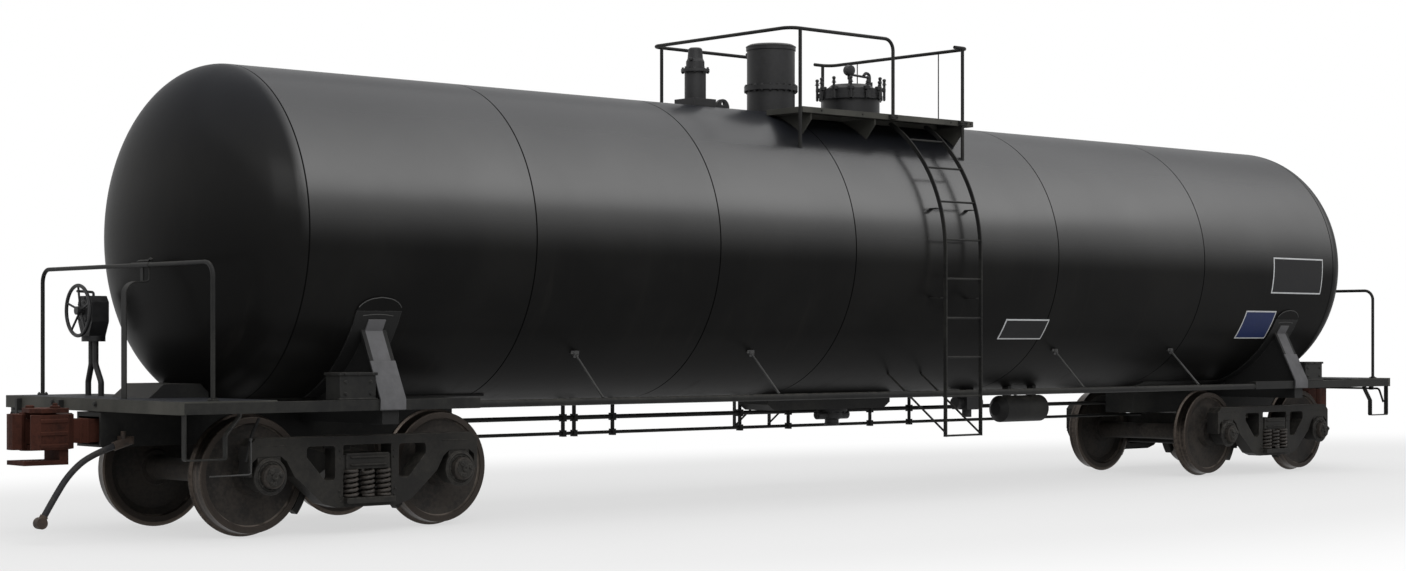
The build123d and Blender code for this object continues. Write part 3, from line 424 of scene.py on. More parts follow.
class Shape:
    # gathers simple solids into one mesh
    def __init__(self):
        self.mesh = bmesh.new()

    def skin(self, rings, closed=False):
        made = [[self.mesh.verts.new(point) for point in ring] for ring in rings]
        count = len(made[0])
        pairs = list(zip(made, made[1:])) + ([(made[-1], made[0])] if closed else [])
        for first, second in pairs:
            for k in range(count):
                n = (k + 1) % count
                self.mesh.faces.new((first[k], first[n], second[n], second[k]))
        if not closed:
            self.mesh.faces.new(list(reversed(made[0])))
            self.mesh.faces.new(made[-1])

    def lathe(self, centre, axis, profile, sides=20, turn=0.0):
        # profile of (distance along the axis, radius)
        axis = Vector(axis).normalized()
        self.skin([roundPoints(Vector(centre) + axis * along, axis, radius, sides, turn) for along, radius in profile])

    def bolt(self, centre, axis, across, height):
        # washer, hexagon head and its chamfered top
        self.lathe(centre, axis, [(-0.002, across * 0.78), (height * 0.2, across * 0.78)], 12)
        head = [(height * 0.15, across * 0.56), (height * 0.85, across * 0.56), (height, across * 0.46)]
        self.lathe(centre, axis, head, 6, random.uniform(0, 1))

    def boltRing(self, centre, axis, circle, count, across, height, start=0.0):
        for spot in roundPoints(centre, axis, circle, count, start):
            self.bolt(spot, axis, across, height)

    def tube(self, points, radius, sides=8, closed=False):
        points = [Vector(p) for p in points]
        count = len(points)
        rings = []
        side = None
        for k, point in enumerate(points):
            before = points[(k - 1) % count] if closed or k else point
            after = points[(k + 1) % count] if closed or k < count - 1 else point
            along = (after - before).normalized()
            side = along.orthogonal().normalized() if side is None else (side - along * side.dot(along)).normalized()
            other = along.cross(side)
            rings.append([point + (side * math.cos(a) + other * math.sin(a)) * radius
                          for a in (2 * math.pi * j / sides for j in range(sides))])
        self.skin(rings, closed)

    def ring(self, centre, axis, circle, radius, steps=28, sides=7):
        self.tube(roundPoints(centre, axis, circle, steps), radius, sides, True)

    def box(self, low, high):
        (x0, y0, z0), (x1, y1, z1) = low, high
        self.skin([[(x0, y0, z0), (x1, y0, z0), (x1, y1, z0), (x0, y1, z0)],
                   [(x0, y0, z1), (x1, y0, z1), (x1, y1, z1), (x0, y1, z1)]])

    def prism(self, outline, y0, y1):
        # outline of (x, z), drawn from y0 to y1
        self.skin([[(x, y, z) for x, z in outline] for y in (y0, y1)])


def bent(points, radius, steps=6):
    # the same run with its corners rounded
    points = [Vector(p) for p in points]
    out = [points[0]]
    for before, corner, after in zip(points, points[1:], points[2:]):
        start = corner + (before - corner).normalized() * radius
        end = corner + (after - corner).normalized() * radius
        out += [start.lerp(corner, t).lerp(corner.lerp(end, t), t) for t in (k / steps for k in range(steps + 1))]
    return out + [points[-1]]


def piece(name, shape, finish, body, replaces=(), smooth=35, bevel=0.0):
    bmesh.ops.recalc_face_normals(shape.mesh, faces=shape.mesh.faces)
    data = bpy.data.meshes.new(name)
    shape.mesh.to_mesh(data)
    shape.mesh.free()
    data.shade_smooth()
    data.set_sharp_from_angle(angle=math.radians(smooth))
    data.materials.append(finishes[finish])
    made = bpy.data.objects.new(name, data)
    bpy.context.collection.objects.link(made)
    if bevel:
        rounding = made.modifiers.new("rounding", "BEVEL")
        rounding.width = bevel
        rounding.segments = 2
        rounding.limit_method = "ANGLE"
    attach(made, body)
    if replaces:
        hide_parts(*replaces)


# air hoses, each on one smooth line
hose = {"route": ((7.955, 0.715), (8.150, 0.655), (8.320, 0.520), (8.440, 0.345), (8.520, 0.212)),  # x, z
        "across": 0.330, "radius": 0.025, "length": 0.783}
for end, side in carEnds:
    line = bpy.data.curves.new("airHose_" + end, "CURVE")
    line.dimensions = "3D"
    line.bevel_depth = hose["radius"]
    line.bevel_resolution = 4
    line.resolution_u = 16
    run = line.splines.new("NURBS")
    run.points.add(len(hose["route"]) - 1)
    for point, (x, z) in zip(run.points, hose["route"]):
        point.co = (side * x, side * hose["across"], z, 1)
    run.order_u = 3
    run.use_endpoint_u = True
    line.materials.append(finishes["hoseRubber"])
    cord = bpy.data.objects.new("airHose_" + end, line)
    bpy.context.collection.objects.link(cord)
    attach(cord, "car_body")
    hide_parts("air_hose_" + end)
print("air hoses laid")

# spring nests: open coils in place of the columns
coil = {"pitch": 0.152, "row": 0.072, "line": 1.003, "low": 0.2903, "high": 0.512, "radius": 0.0475, "wire": 0.0135,
        "turns": 6.0, "steps": 18, "sides": 7}
coilPoints = int(coil["turns"] * coil["steps"])
flatPoints = coil["steps"] / 2  # the first and last half turns lie flat
for end, centre in trucks:
    nest = Shape()
    for side in (-1, 1):
        for row in (-1, 1):
            for place in (-1, 0, 1):
                spot = Vector((centre + place * coil["pitch"], side * (coil["line"] + row * coil["row"]), 0))
                start = random.uniform(0, 2 * math.pi)
                points = []
                for k in range(coilPoints + 1):
                    turn = start + 2 * math.pi * k / coil["steps"]
                    rise = min(max((k - flatPoints) / (coilPoints - 2 * flatPoints), 0), 1)
                    height = coil["low"] + coil["wire"] + rise * (coil["high"] - coil["low"] - 2 * coil["wire"])
                    points.append(spot + Vector((coil["radius"] * math.cos(turn), coil["radius"] * math.sin(turn), height)))
                nest.tube(points, coil["wire"], coil["sides"])
    piece("springCoils_" + end, nest, "springSteel", "truck_" + end, ["springs_" + end], 60)
print("springs coiled")

# three bolts, a raised boss and a lock plate on each axle cap
cap = {"plate": ((-0.002, 0.080), (0.005, 0.080), (0.006, 0.077)), "plateTurn": 0.4,
       "boss": ((0.004, 0.030), (0.016, 0.030), (0.019, 0.025), (0.019, 0.012), (0.013, 0.010)),
       "seat": 0.005, "bolts": (0.052, 3, 0.034, 0.018, 0.5)}  # circle, count, head, height, first angle
for n, x in enumerate(axleX, 1):
    caps = Shape()
    for side in (-1, 1):
        face = Vector((x, side * capY, axleZ))
        out = Vector((0, side, 0))
        caps.lathe(face, out, cap["plate"], 6, cap["plateTurn"])
        caps.lathe(face, out, cap["boss"], 24)
        caps.boltRing(face + out * cap["seat"], out, *cap["bolts"])
    piece("axleCapBolts_%d" % n, caps, "truckCast", "wheelset_%d" % n)

# ring of each bearing on the face of the side frame
bearingRing = {"face": 1.074, "steps": 40,
               "profile": ((0.0, 0.113), (0.026, 0.113), (0.030, 0.118), (0.030, 0.126),
                           (0.022, 0.130), (0.022, 0.141), (0.018, 0.145), (0.0, 0.145))}  # depth, radius
ringAngles = [2 * math.pi * k / bearingRing["steps"] for k in range(bearingRing["steps"])]
for end, axles in (("b", axleX[:2]), ("a", axleX[2:])):
    rings = Shape()
    for x in axles:
        for side in (-1, 1):
            rings.skin([[(x + r * math.cos(a), side * (bearingRing["face"] + d), axleZ + r * math.sin(a))
                         for d, r in bearingRing["profile"]] for a in ringAngles], True)
    piece("bearingRings_" + end, rings, "truckCast", "truck_" + end, smooth=40)
print("axle caps bolted")

# castings and fastenings on each side frame
sideFrame = {"face": 1.078, "rivets": ((0.252, 0.300), (0.262, 0.345), (0.246, 0.262), (0.250, 0.655), (0.250, 0.600)),
             "rivet": ((-0.002, 0.011), (0.005, 0.009565), (0.008, 0.004)),
             "bead": (0.72, 1.00, 0.715), "beadRadius": 0.004,
             "wedge": ((0.224, 0.625), (0.224, 0.455), (0.150, 0.625)), "wedgeY": (0.945, 1.070),
             "ledges": (0.606, 0.545), "ledgeHalf": (0.165, 0.007), "ledgeY": (1.075, 1.103),
             "jaw": 0.889, "seals": ((1.098, 0.106, 0.006), (1.090, 0.117, 0.005)),  # y, circle, radius
             "sealFace": 1.0975, "sealBolts": (0.099, 8, 0.015, 0.010)}  # circle, count, head, height
for end, centre in trucks:
    body = "truck_" + end
    rivets, wedges, seals = Shape(), Shape(), Shape()
    for side in (-1, 1):
        out = Vector((0, side, 0))
        face = side * sideFrame["face"]
        for way in (-1, 1):
            for x, z in sideFrame["rivets"]:
                rivets.lathe((centre + way * x, face, z), out, sideFrame["rivet"], 10)
            x0, x1, z = sideFrame["bead"]
            rivets.tube([(centre + way * x0, face, z), (centre + way * x1, face, z)], sideFrame["beadRadius"], 6)
            inner, outer = sideFrame["wedgeY"]
            wedges.prism([(centre + way * x, z) for x, z in sideFrame["wedge"]], side * inner, side * outer)
            jawX = centre + way * sideFrame["jaw"]
            for y, circle, radius in sideFrame["seals"]:
                seals.ring((jawX, side * y, axleZ), out, circle, radius)
            seals.boltRing((jawX, side * sideFrame["sealFace"], axleZ), out, *sideFrame["sealBolts"])
        halfX, halfZ = sideFrame["ledgeHalf"]
        low, high = sorted(side * y for y in sideFrame["ledgeY"])
        for z in sideFrame["ledges"]:
            wedges.box((centre - halfX, low, z - halfZ), (centre + halfX, high, z + halfZ))
    piece("frameRivets_" + end, rivets, "truckCast", body)
    piece("frictionWedges_" + end, wedges, "truckCast", body, bevel=0.004)
    piece("bearingSeals_" + end, seals, "truckCast", body)

# thin wire guard and round bar at the near outer corner of one truck
guard = {"wire": ((-7.205, -1.083, 0.770), (-7.205, -1.083, 0.505), (-7.560, -1.083, 0.502)), "radius": 0.006, "bend": 0.02,
         "foot": ((-7.205, -1.07, 0.770), (-7.205, -1.086, 0.770)), "footRadius": 0.012,
         "bar": ((-7.12, -1.06, 0.930), (-7.19, -1.06, 0.800), (-7.235, -1.06, 0.600)), "barRadius": 0.013, "barBend": 0.05}
wireGuard, guardBar = Shape(), Shape()
wireGuard.tube(bent(guard["wire"], guard["bend"]), guard["radius"])
wireGuard.tube(guard["foot"], guard["footRadius"])
piece("wireGuard", wireGuard, "stayGrey", "truck_b")
guardBar.tube(bent(guard["bar"], guard["barBend"]), guard["barRadius"])
piece("guardBar", guardBar, "frameBlack", "truck_b")
print("trucks dressed")

# couplers: pin heads, raised bars along the cheek, lock lift and ribs
drawHead = {"top": 1.010, "pin": (8.420, -0.118), "pinHead": ((-0.004, 0.034), (0.014, 0.034), (0.020, 0.026)),
            "cheek": ((8.250, 0.169), (8.490, 0.211)), "bars": ((0.705, 0.745), (0.800, 0.840), (0.895, 0.935)),
            "barDepth": (-0.004, 0.012), "barSlope": 0.008, "lift": (8.300, 0.060),
            "liftHead": ((-0.004, 0.040), (0.012, 0.040), (0.018, 0.034), (0.018, 0.020), (0.034, 0.020), (0.038, 0.014)),
            "ribs": (8.03, 8.09), "ribHalf": (0.009, 0.074), "ribZ": (0.735, 0.925)}
for end, side in carEnds:
    heads = Shape()
    x, y = drawHead["pin"]
    heads.lathe((side * x, side * y, drawHead["top"]), (0, 0, 1), drawHead["pinHead"], 20)
    inner, outer = drawHead["barDepth"]
    slope = drawHead["barSlope"]
    for z0, z1 in drawHead["bars"]:
        section = ((inner, z0), (outer, z0 + slope), (outer, z1 - slope), (inner, z1))
        heads.skin([[(side * x, side * (y + d), z) for d, z in section] for x, y in drawHead["cheek"]])
    x, y = drawHead["lift"]
    heads.lathe((side * x, side * y, drawHead["top"]), (0, 0, 1), drawHead["liftHead"], 18)
    halfX, halfY = drawHead["ribHalf"]
    low, high = drawHead["ribZ"]
    for rib in drawHead["ribs"]:
        heads.box((side * rib - halfX, -halfY, low), (side * rib + halfX, halfY, high))
    piece("couplerPins_" + end, heads, "couplerRust", "coupler_" + end, bevel=0.003)

# fascia bolts, post feet and the clamp that ties the flat strap to the end rail
endDetail = {"fasciaBolts": (-0.588, 0.128), "boltZ": 1.036, "bolt": (0.034, 0.018),  # head, height
             "postY": 1.375, "footSteps": (-0.031, 0.031), "footTop": 0.012, "footBolt": (0.014, 0.010), "railRadius": 0.017,
             "sleeve": (0.14, 0.42), "sleeveEdge": 0.002, "sleeveRadius": (0.019, 0.0215)}
# hook along the rail and rod that drops from it, as offsets in x and z from the rail
clampRuns = (
    {"points": ((-0.030, 0.16, -0.005), (-0.030, 0.19, 0.030), (-0.030, 0.36, 0.032), (-0.030, 0.385, 0.050),
                (-0.030, 0.41, 0.036)), "bend": 0.012, "radius": 0.011},
    {"points": ((-0.024, 0.375, 0.010), (-0.024, 0.375, -0.122), (0.010, 0.325, -0.130)), "bend": 0.02, "radius": 0.008},
)
railZ = railTop - endDetail["railRadius"]
for end, side in carEnds:
    bolts, clamp = Shape(), Shape()
    for y in endDetail["fasciaBolts"]:
        bolts.bolt((side * deckEnd, side * y, endDetail["boltZ"]), (side, 0, 0), *endDetail["bolt"])
    for y in (-endDetail["postY"], endDetail["postY"]):
        for step in endDetail["footSteps"]:
            bolts.bolt((side * railX + step, y, deckTop + endDetail["footTop"]), (0, 0, 1), *endDetail["footBolt"])
    near, far = endDetail["sleeve"]
    edge, length = endDetail["sleeveEdge"], far - near
    thin, thick = endDetail["sleeveRadius"]
    clamp.lathe((side * railX, side * near, railZ), (0, side, 0),
                [(0, thin), (edge, thick), (length, thick), (length + edge, thin)], 16)
    for run in clampRuns:
        clamp.tube(bent([(side * (railX + x), side * y, railZ + z) for x, y, z in run["points"]], run["bend"]), run["radius"])
    piece("endBolts_" + end, bolts, "frameBlack", "car_body")
    piece("railClamp_" + end, clamp, "frameBlack", "car_body")

# hand brake: cover ring, case bolts and release lever
brake = {"face": (-7.5997, 0.830, 1.765), "cover": ((-0.002, 0.088), (0.012, 0.088), (0.018, 0.080), (0.018, 0.050)),
         "coverFace": 0.012, "coverBolts": (0.070, 6, 0.018, 0.012),  # circle, count, head, height
         "caseBolts": ((-0.10, 0.05), (0.10, 0.05), (-0.10, -0.07), (0.10, -0.07), (0.0, 0.10), (0.0, -0.14)),
         "caseBolt": (0.016, 0.010), "lever": ((0.06, -0.03, 0.115), (0.06, -0.03, 0.150), (-0.02, 0.07, 0.158)),
         "leverBend": 0.02, "leverRadius": 0.011, "knob": (-0.02, 0.07, 0.146),
         "knobProfile": ((0, 0.008), (0.006, 0.019), (0.018, 0.019), (0.024, 0.008))}
gear = Shape()
face, out = Vector(brake["face"]), Vector((-1, 0, 0))
gear.lathe(face, out, brake["cover"], 28)
gear.boltRing(face + out * brake["coverFace"], out, *brake["coverBolts"])
for y, z in brake["caseBolts"]:
    gear.bolt(face + Vector((0, y, z)), out, *brake["caseBolt"])
gear.tube(bent([face + Vector(point) for point in brake["lever"]], brake["leverBend"]), brake["leverRadius"])
gear.lathe(face + Vector(brake["knob"]), (0, 0, 1), brake["knobProfile"], 14)
piece("brakeGearFace", gear, "fittingBlack", "car_body")
print("ends dressed")


# top fittings: flange bolts of the relief valve and the housing
def flangeBolts(shape, look):
    # heads above the flange and nuts below it
    for way, level, height in zip((1, -1), look["levels"], look["heights"]):
        shape.boltRing((look["x"], 0, level), (0, 0, way), look["circle"], look["count"], look["head"], height)


relief = {"x": -1.730, "levels": (4.098, 4.070), "heights": (0.020, 0.014), "circle": 0.119, "count": 8, "head": 0.020,
          "plugPlace": (-1.805, -0.030, 4.188), "plugAxis": (-1, -0.4, 0),
          "plug": ((0, 0.018), (0.03, 0.018), (0.036, 0.010))}
reliefBolts = Shape()
flangeBolts(reliefBolts, relief)
reliefBolts.lathe(relief["plugPlace"], relief["plugAxis"], relief["plug"], 12)
piece("reliefBolts", reliefBolts, "fittingBlack", "car_body")
housing = {"x": -0.740, "levels": (4.000, 3.956), "heights": (0.018, 0.016), "circle": 0.249, "count": 20, "head": 0.020,
           "lidEdge": 4.388, "bead": (0.243, 0.004, 48)}  # circle, radius, steps
housingBolts, lidBead = Shape(), Shape()
flangeBolts(housingBolts, housing)
piece("housingBolts", housingBolts, "fittingBlack", "car_body")
lidBead.ring((housing["x"], 0, housing["lidEdge"]), (0, 0, 1), *housing["bead"])
piece("lidBead", lidBead, "fittingBlack", "housing_lid")

# swing bolts round the manway, with none at its hinge
swing = {"centre": (0.370, 0, 3.985), "count": 12, "circle": 0.338, "hingeRoom": 0.45, "rod": ((-0.040, 0.014), (0.150, 0.014)),
         "nutZ": 0.115, "nut": (0.030, 0.022), "eyeZ": 0.144,
         "eye": ((0, 0.008), (0.006, 0.017), (0.018, 0.019), (0.028, 0.014), (0.032, 0.004)),
         "lugs": (-0.018, 0.018), "lugLow": (-0.007, -0.007, -0.046), "lugHigh": (0.007, 0.007, 0.030)}
swingAngles = [2 * math.pi * (k + 0.5) / swing["count"] for k in range(swing["count"])]
swingAngles = [a for a in swingAngles if abs(a - math.pi / 2) > swing["hingeRoom"]]
swingWays = [Vector((math.cos(a), math.sin(a), 0)) for a in swingAngles]
swingBolts = Shape()
for out in swingWays:
    foot = Vector(swing["centre"]) + out * swing["circle"]
    swingBolts.lathe(foot, (0, 0, 1), swing["rod"], 10)
    swingBolts.bolt(foot + Vector((0, 0, swing["nutZ"])), (0, 0, 1), *swing["nut"])
    swingBolts.lathe(foot + Vector((0, 0, swing["eyeZ"])), (0, 0, 1), swing["eye"], 12)
    for step in swing["lugs"]:
        lug = foot + Vector((-out.y, out.x, 0)) * step
        swingBolts.box(lug + Vector(swing["lugLow"]), lug + Vector(swing["lugHigh"]))
piece("swingBolts", swingBolts, "fittingBlack", "car_body")

# ears, lifting arm, round head and hook on the manway cover
cover = {"centre": (0.370, 0, 4.047), "ears": 0.318, "ear": ((-0.016, 0.036), (0.014, 0.036), (0.020, 0.030)), "bend": 0.03,
         "headPlace": (-0.10, -0.115, 0.185), "headAxis": (0.1, 1, 0.1),
         "head": ((0, 0.030), (0.010, 0.052), (0.060, 0.056), (0.080, 0.048), (0.088, 0.020)),
         "block": ((0.175, -0.09, 0.0), (0.225, -0.05, 0.09))}
coverRuns = (
    {"points": ((-0.09, -0.07, 0.02), (-0.09, -0.07, 0.150), (0.20, -0.07, 0.135), (0.20, -0.07, 0.0)), "radius": 0.012},
    {"points": ((-0.09, -0.07, 0.10), (-0.09, -0.07, 0.20)), "radius": 0.020},
    {"points": ((0.20, -0.07, 0.02), (0.20, -0.07, 0.165), (0.145, -0.07, 0.185), (0.115, -0.07, 0.150)), "radius": 0.016},
)
arm = Shape()
coverTop = Vector(cover["centre"])
for out in swingWays:
    arm.lathe(coverTop + out * cover["ears"], (0, 0, 1), cover["ear"], 14)
for run in coverRuns:
    arm.tube(bent([coverTop + Vector(point) for point in run["points"]], cover["bend"]), run["radius"])
arm.lathe(coverTop + Vector(cover["headPlace"]), cover["headAxis"], cover["head"], 20)
arm.box(*(coverTop + Vector(corner) for corner in cover["block"]))
piece("coverLiftingArm", arm, "fittingBlack", "manway_cover")

# clamps and bolts along the walkways, with a thin guard rod on each side
walk = {"y": 0.9873, "low": 3.655, "gaps": (-0.050, 0.950), "clampHalf": 0.045, "clampY": (-0.016, 0.024),
        "clampZ": (0.004, 0.050), "clampBolts": (-0.034, 0.034), "clampBoltZ": 0.027, "clampBolt": (0.016, 0.012),
        "edge": 0.970, "edgeBolts": (-1.0, -0.45, 0.80, 1.09), "edgeBoltZ": 0.030, "edgeBolt": (0.014, 0.008),
        "guard": (1.050, 0.573), "guardZ": (3.710, 4.430), "guardRadius": 0.006}
walkClamps = Shape()
for side in (-1, 1):
    out = (0, side, 0)
    inner, outer = (side * (walk["y"] + y) for y in walk["clampY"])
    z0, z1 = (walk["low"] + z for z in walk["clampZ"])
    for x in walk["gaps"]:
        low, high = sorted((inner, outer))
        walkClamps.box((x - walk["clampHalf"], low, z0), (x + walk["clampHalf"], high, z1))
        for step in walk["clampBolts"]:
            walkClamps.bolt((x + step, outer, walk["low"] + walk["clampBoltZ"]), out, *walk["clampBolt"])
    for x in walk["edgeBolts"]:
        walkClamps.bolt((x, side * walk["edge"], walk["low"] + walk["edgeBoltZ"]), out, *walk["edgeBolt"])
    guardX, guardY = walk["guard"]
    walkClamps.tube([(guardX, side * guardY, z) for z in walk["guardZ"]], walk["guardRadius"])
piece("walkClamps", walkClamps, "frameBlack", "car_body", bevel=0.002)
print("top dressed")

# under the tank: outlet flange bolts, a ring on the neck and bolts on its arms
outlet = {"x": 0.100, "flange": 0.8137, "flangeBolts": (0.130, 10, 0.022, 0.016),  # circle, count, head, height
          "neck": 0.690, "neckRing": (0.070, 0.008), "arm": (0.210, 0.7797), "armBolts": (0.026, 4, 0.014, 0.010)}
outletBolts = Shape()
outletBolts.boltRing((outlet["x"], 0, outlet["flange"]), (0, 0, -1), *outlet["flangeBolts"])
outletBolts.ring((outlet["x"], 0, outlet["neck"]), (0, 0, 1), *outlet["neckRing"])
armX, armZ = outlet["arm"]
for side in (-1, 1):
    outletBolts.boltRing((outlet["x"] + side * armX, 0, armZ), (side, 0, 0), *outlet["armBolts"])
piece("outletBolts", outletBolts, "fittingBlack", "car_body")


def shellPoint(x, angle, lift, side=-1):
    a = math.radians(angle)
    return Vector((x, side * (tankRadius + lift) * math.cos(a), tankAxisZ + (tankRadius + lift) * math.sin(a)))


def shellSheet(shape, rows, lift, side=-1):
    # plate on the curve of the shell, from rows of (angle, left x, right x)
    sunk = -0.001
    shape.skin([[shellPoint(x0, a, sunk, side), shellPoint(x1, a, sunk, side), shellPoint(x1, a, lift, side),
                 shellPoint(x0, a, lift, side)] for a, x0, x1 in rows])


# saddles: arched top of the pad with its beads, the strap's lapped tip and the wide plate at its foot; the lighter
# grey bead round the arch is a painted highlight along the pad's edge
saddle = {"padHalf": 0.210, "padTop": -26.6, "archTop": -21.4, "archSteps": 12, "archTip": 0.004, "padLift": 0.012,
          "bead": 0.004, "beadFrom": 4, "beadSides": 6, "seamAngle": -27.4, "seamSag": 0.5, "seamHalf": 0.14, "seamSteps": 6,
          "tipHalf": 0.080, "tip": (-34.6, -29.2), "tipLift": 0.022, "tipSteps": 6,
          "footHalf": 0.118, "footDepth": (-0.004, 0.009), "footDrop": 0.080, "footBend": 0.002, "footTop": 1.365}
arches, beads, tips, feet = Shape(), Shape(), Shape(), Shape()
for centre in (-truckX, truckX):
    for side in (-1, 1):
        rise = saddle["archTop"] - saddle["padTop"]
        rows = []
        for k in range(saddle["archSteps"] + 1):
            t = k / saddle["archSteps"]
            half = max(saddle["padHalf"] * math.sqrt(max(1 - t ** 2, 0)), saddle["archTip"])
            rows.append((saddle["padTop"] + rise * t, centre - half, centre + half))
        shellSheet(arches, rows, saddle["padLift"], side)
        # lighter grey bead round the arch: painted highlight along the pad's edge
        arch = rows[saddle["beadFrom"]:]
        edge = [shellPoint(x0, a, saddle["padLift"], side) for a, x0, x1 in arch]
        edge += [shellPoint(x1, a, saddle["padLift"], side) for a, x0, x1 in reversed(arch)]
        beads.tube(edge, saddle["bead"], saddle["beadSides"])
        # lighter grey weld bead across the pad
        steps = saddle["seamSteps"]
        seam = [(saddle["seamHalf"] * t, saddle["seamAngle"] - saddle["seamSag"] * t * t)
                for t in (k / steps - 1 for k in range(2 * steps + 1))]
        beads.tube([shellPoint(centre + x, a, saddle["padLift"], side) for x, a in seam], saddle["bead"], saddle["beadSides"])
        low, high = saddle["tip"]
        steps = saddle["tipSteps"]
        shellSheet(tips, [(low + (high - low) * k / steps, centre - saddle["tipHalf"], centre + saddle["tipHalf"])
                          for k in range(steps + 1)], saddle["tipLift"], side)
        footY, footZ = strapLine["foot"]
        footLow, footBend, footTop = footZ - saddle["footDrop"], footZ + saddle["footBend"], saddle["footTop"]
        topY = footY - (footTop - footZ) * strapLine["lean"]
        inner, outer = saddle["footDepth"]
        outline = [(footY + inner, footLow), (footY + outer, footLow), (footY + outer, footBend),
                   (topY + outer, footTop), (topY + inner, footTop), (footY + inner, footBend)]
        feet.skin([[(centre + x, side * y, z) for y, z in outline] for x in (-saddle["footHalf"], saddle["footHalf"])])

# bolted box beside each saddle, with a lid and a foot that stand out by its rim
saddleBox = {"low": (0.135, 1.200, 1.0645), "high": (0.465, 1.400, 1.255), "rim": 0.012, "lap": 0.001, "lid": 0.022,
             "footThick": 0.014, "footIn": 0.02, "lidBoltIn": 0.04, "lidBolt": (0.016, 0.009),
             "sideBoltIn": 0.05, "sideBolt": (0.022, 0.012)}
boxes, boxBolts = Shape(), Shape()
for end in (-1, 1):
    for side in (-1, 1):
        out = (0, side, 0)
        (x0, y0, z0), (x1, y1, z1) = saddleBox["low"], saddleBox["high"]
        x0, x1, rim, lap = truckX + x0, truckX + x1, saddleBox["rim"], saddleBox["lap"]
        boxes.box((end * x0, side * y0, z0), (end * x1, side * y1, z1))
        boxes.box((end * (x0 - rim), side * (y0 - rim), z1 - lap),
                  (end * (x1 + rim), side * (y1 + rim), z1 + saddleBox["lid"]))
        boxes.box((end * (x0 - rim), side * (y1 - saddleBox["footIn"]), z0 - lap),
                  (end * (x1 + rim), side * (y1 + rim), z0 + saddleBox["footThick"]))
        inset = saddleBox["lidBoltIn"]
        for x in (x0 + inset, (x0 + x1) / 2, x1 - inset):
            boxBolts.bolt((end * x, side * (y1 + rim), z1 + saddleBox["lid"] / 2), out, *saddleBox["lidBolt"])
        inset = saddleBox["sideBoltIn"]
        for z in (z0 + inset, z1 - inset):
            for x in (x0 + inset, x1 - inset):
                boxBolts.bolt((end * x, side * y1, z), out, *saddleBox["sideBolt"])
piece("saddleBoxes", boxes, "frameBlack", "car_body", bevel=0.005)
piece("saddleBoxBolts", boxBolts, "frameBlack", "car_body")
piece("padArches", arches, "tankBlack", "car_body")
piece("padEdgeHighlightAndWeld", beads, "stayGrey", "car_body")
piece("strapTips", tips, "strapGrey", "car_body", bevel=0.002)
piece("strapFeet", feet, "strapGrey", "car_body", bevel=0.003)

# foot of each rail stay on the shell
stays = {"x": (-4.000, -1.950, 2.350, 4.300), "y": 1.000, "footHalf": (0.042, 0.014, 0.014),
         "bolts": (-0.030, 0.030), "boltLift": 0.012, "bolt": (0.014, 0.009)}
washers = Shape()
stayZ = tankAxisZ - math.sqrt(tankRadius ** 2 - stays["y"] ** 2)
footHalf = Vector(stays["footHalf"])
for x in stays["x"]:
    for side in (-1, 1):
        out = Vector((0, side * stays["y"], stayZ - tankAxisZ)).normalized()
        spot = Vector((x, side * stays["y"], stayZ))
        washers.box(spot - footHalf, spot + footHalf)
        for step in stays["bolts"]:
            washers.bolt(spot + Vector((step, 0, 0)) + out * stays["boltLift"], out, *stays["bolt"])
piece("stayFeet", washers, "stayGrey", "car_body", bevel=0.002)
print("body dressed")

# blank plates on the tank's near side, each on the curve of the shell
plateEdge = {"border": 0.016, "lift": 0.003, "faceLift": 0.0045, "rows": 10}
plates = (
    {"name": "dataPlate", "x": (5.70, 6.66), "angle": (3.4, -13.4), "face": "signBlack"},
    {"name": "noticePlate", "x": (5.33, 5.90), "angle": (-22.0, -36.7), "face": "signBlue"},
    {"name": "markPlate", "x": (1.34, 2.005), "angle": (-27.3, -37.2), "face": "signBlack"},
)


def curvedPlate(left, right, high, low, lift):
    sheet = Shape()
    rows = plateEdge["rows"]
    shellSheet(sheet, [(high + (low - high) * k / rows, left, right) for k in range(rows + 1)], lift)
    return sheet


border = plateEdge["border"]
inset = math.degrees(border / tankRadius)
for plate in plates:
    left, right = plate["x"]
    high, low = plate["angle"]
    outer = curvedPlate(left, right, high, low, plateEdge["lift"])
    piece(plate["name"] + "Border", outer, "signWhite", "car_body")
    inner = curvedPlate(left + border, right - border, high - inset, low + inset, plateEdge["faceLift"])
    piece(plate["name"] + "Face", inner, plate["face"], "car_body")
print("plates set")

# stage: floor, light and camera
stage = {"floorSize": 600.0, "floorZ": -0.004, "floor": (0.55, 0.55, 0.55), "white": 0.62, "ambient": 0.35,
         "fade": (1.0, 1.9), "fadeScale": (0.085, 0.22, 1.0)}
floorData = bpy.data.meshes.new("floor")
half = stage["floorSize"] / 2
corners = [(x * half, y * half, stage["floorZ"]) for x, y in ((-1, -1), (1, -1), (1, 1), (-1, 1))]
floorData.from_pydata(corners, [], [(0, 1, 2, 3)])
floor = bpy.data.objects.new("floor", floorData)
bpy.context.collection.objects.link(floor)
paleFloor = Finish("paleFloor", {"Base Color": stage["floor"], "Roughness": 0.9, "Specular IOR Level": 0.1})
x, y, _ = paleFloor.split(paleFloor.scaled(paleFloor.place(), stage["fadeScale"]))
away = paleFloor.ramp((x * x + y * y) ** 0.5, *stage["fade"])
glow = paleFloor.add("ShaderNodeEmission", {}, {"Color": (1.0, 1.0, 1.0)})
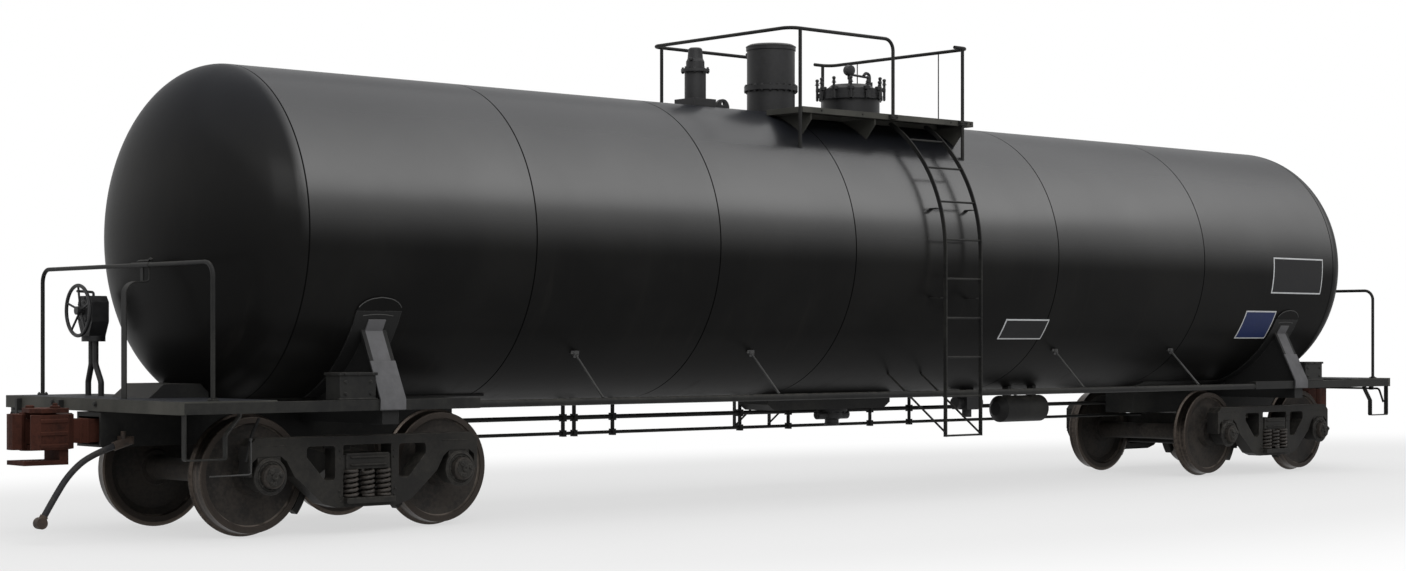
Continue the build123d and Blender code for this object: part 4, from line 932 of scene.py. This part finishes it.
share = paleFloor.direct() * (stage["white"] + (1 - stage["white"]) * away)
lit = Wire(paleFloor, paleFloor.shader.outputs[0])
mixed = paleFloor.add("ShaderNodeMixShader", {}, {0: share, 1: lit, 2: glow})
paleFloor.join(mixed, paleFloor.tree.nodes["Material Output"].inputs["Surface"])
floorData.materials.append(paleFloor.material)

world = bpy.data.worlds.new("studio")
bpy.context.scene.world = world
world.use_nodes = True
air = Tree(world.node_tree)
backdrop = world.node_tree.nodes["Background"]
air.join((1.0, 1.0, 1.0), backdrop.inputs["Color"])
air.join(stage["ambient"] + air.direct() * (1 - stage["ambient"]), backdrop.inputs["Strength"])

lamps = (
    {"name": "skySoftbox", "place": (0.0, -4.0, 22.0), "aim": (0.0, 0.0, 2.0), "size": (70.0, 50.0), "power": 9500.0},
    {"name": "keySoftbox", "place": (-12.0, -22.0, 16.0), "aim": (-1.0, 0.0, 2.0), "size": (24.0, 12.0), "power": 2200.0},
)
for lamp in lamps:
    light = bpy.data.lights.new(lamp["name"], "AREA")
    light.shape = "RECTANGLE"
    light.size, light.size_y = lamp["size"]
    light.energy = lamp["power"]
    holder = bpy.data.objects.new(lamp["name"], light)
    holder.location = lamp["place"]
    holder.rotation_euler = (Vector(lamp["aim"]) - Vector(lamp["place"])).to_track_quat("-Z", "Y").to_euler()
    bpy.context.collection.objects.link(holder)

viewer = {"place": (-16.477, -16.607, 1.532), "turn": 41.795, "focal": 2336.8, "horizon": 339.4, "wide": 1406, "high": 571}
eye = bpy.data.cameras.new("viewer")
eye.sensor_fit = "HORIZONTAL"
eye.sensor_width = 36.0
eye.lens = viewer["focal"] / viewer["wide"] * eye.sensor_width
eye.shift_y = (viewer["horizon"] - viewer["high"] / 2) / viewer["wide"]
eye.clip_end = 700.0
stand = bpy.data.objects.new("viewer", eye)
stand.location = viewer["place"]
stand.rotation_euler = (math.radians(90), 0, math.radians(-viewer["turn"]))
bpy.context.collection.objects.link(stand)
bpy.context.scene.camera = stand
bpy.context.scene.view_settings.view_transform = "Standard"
print("stage set")
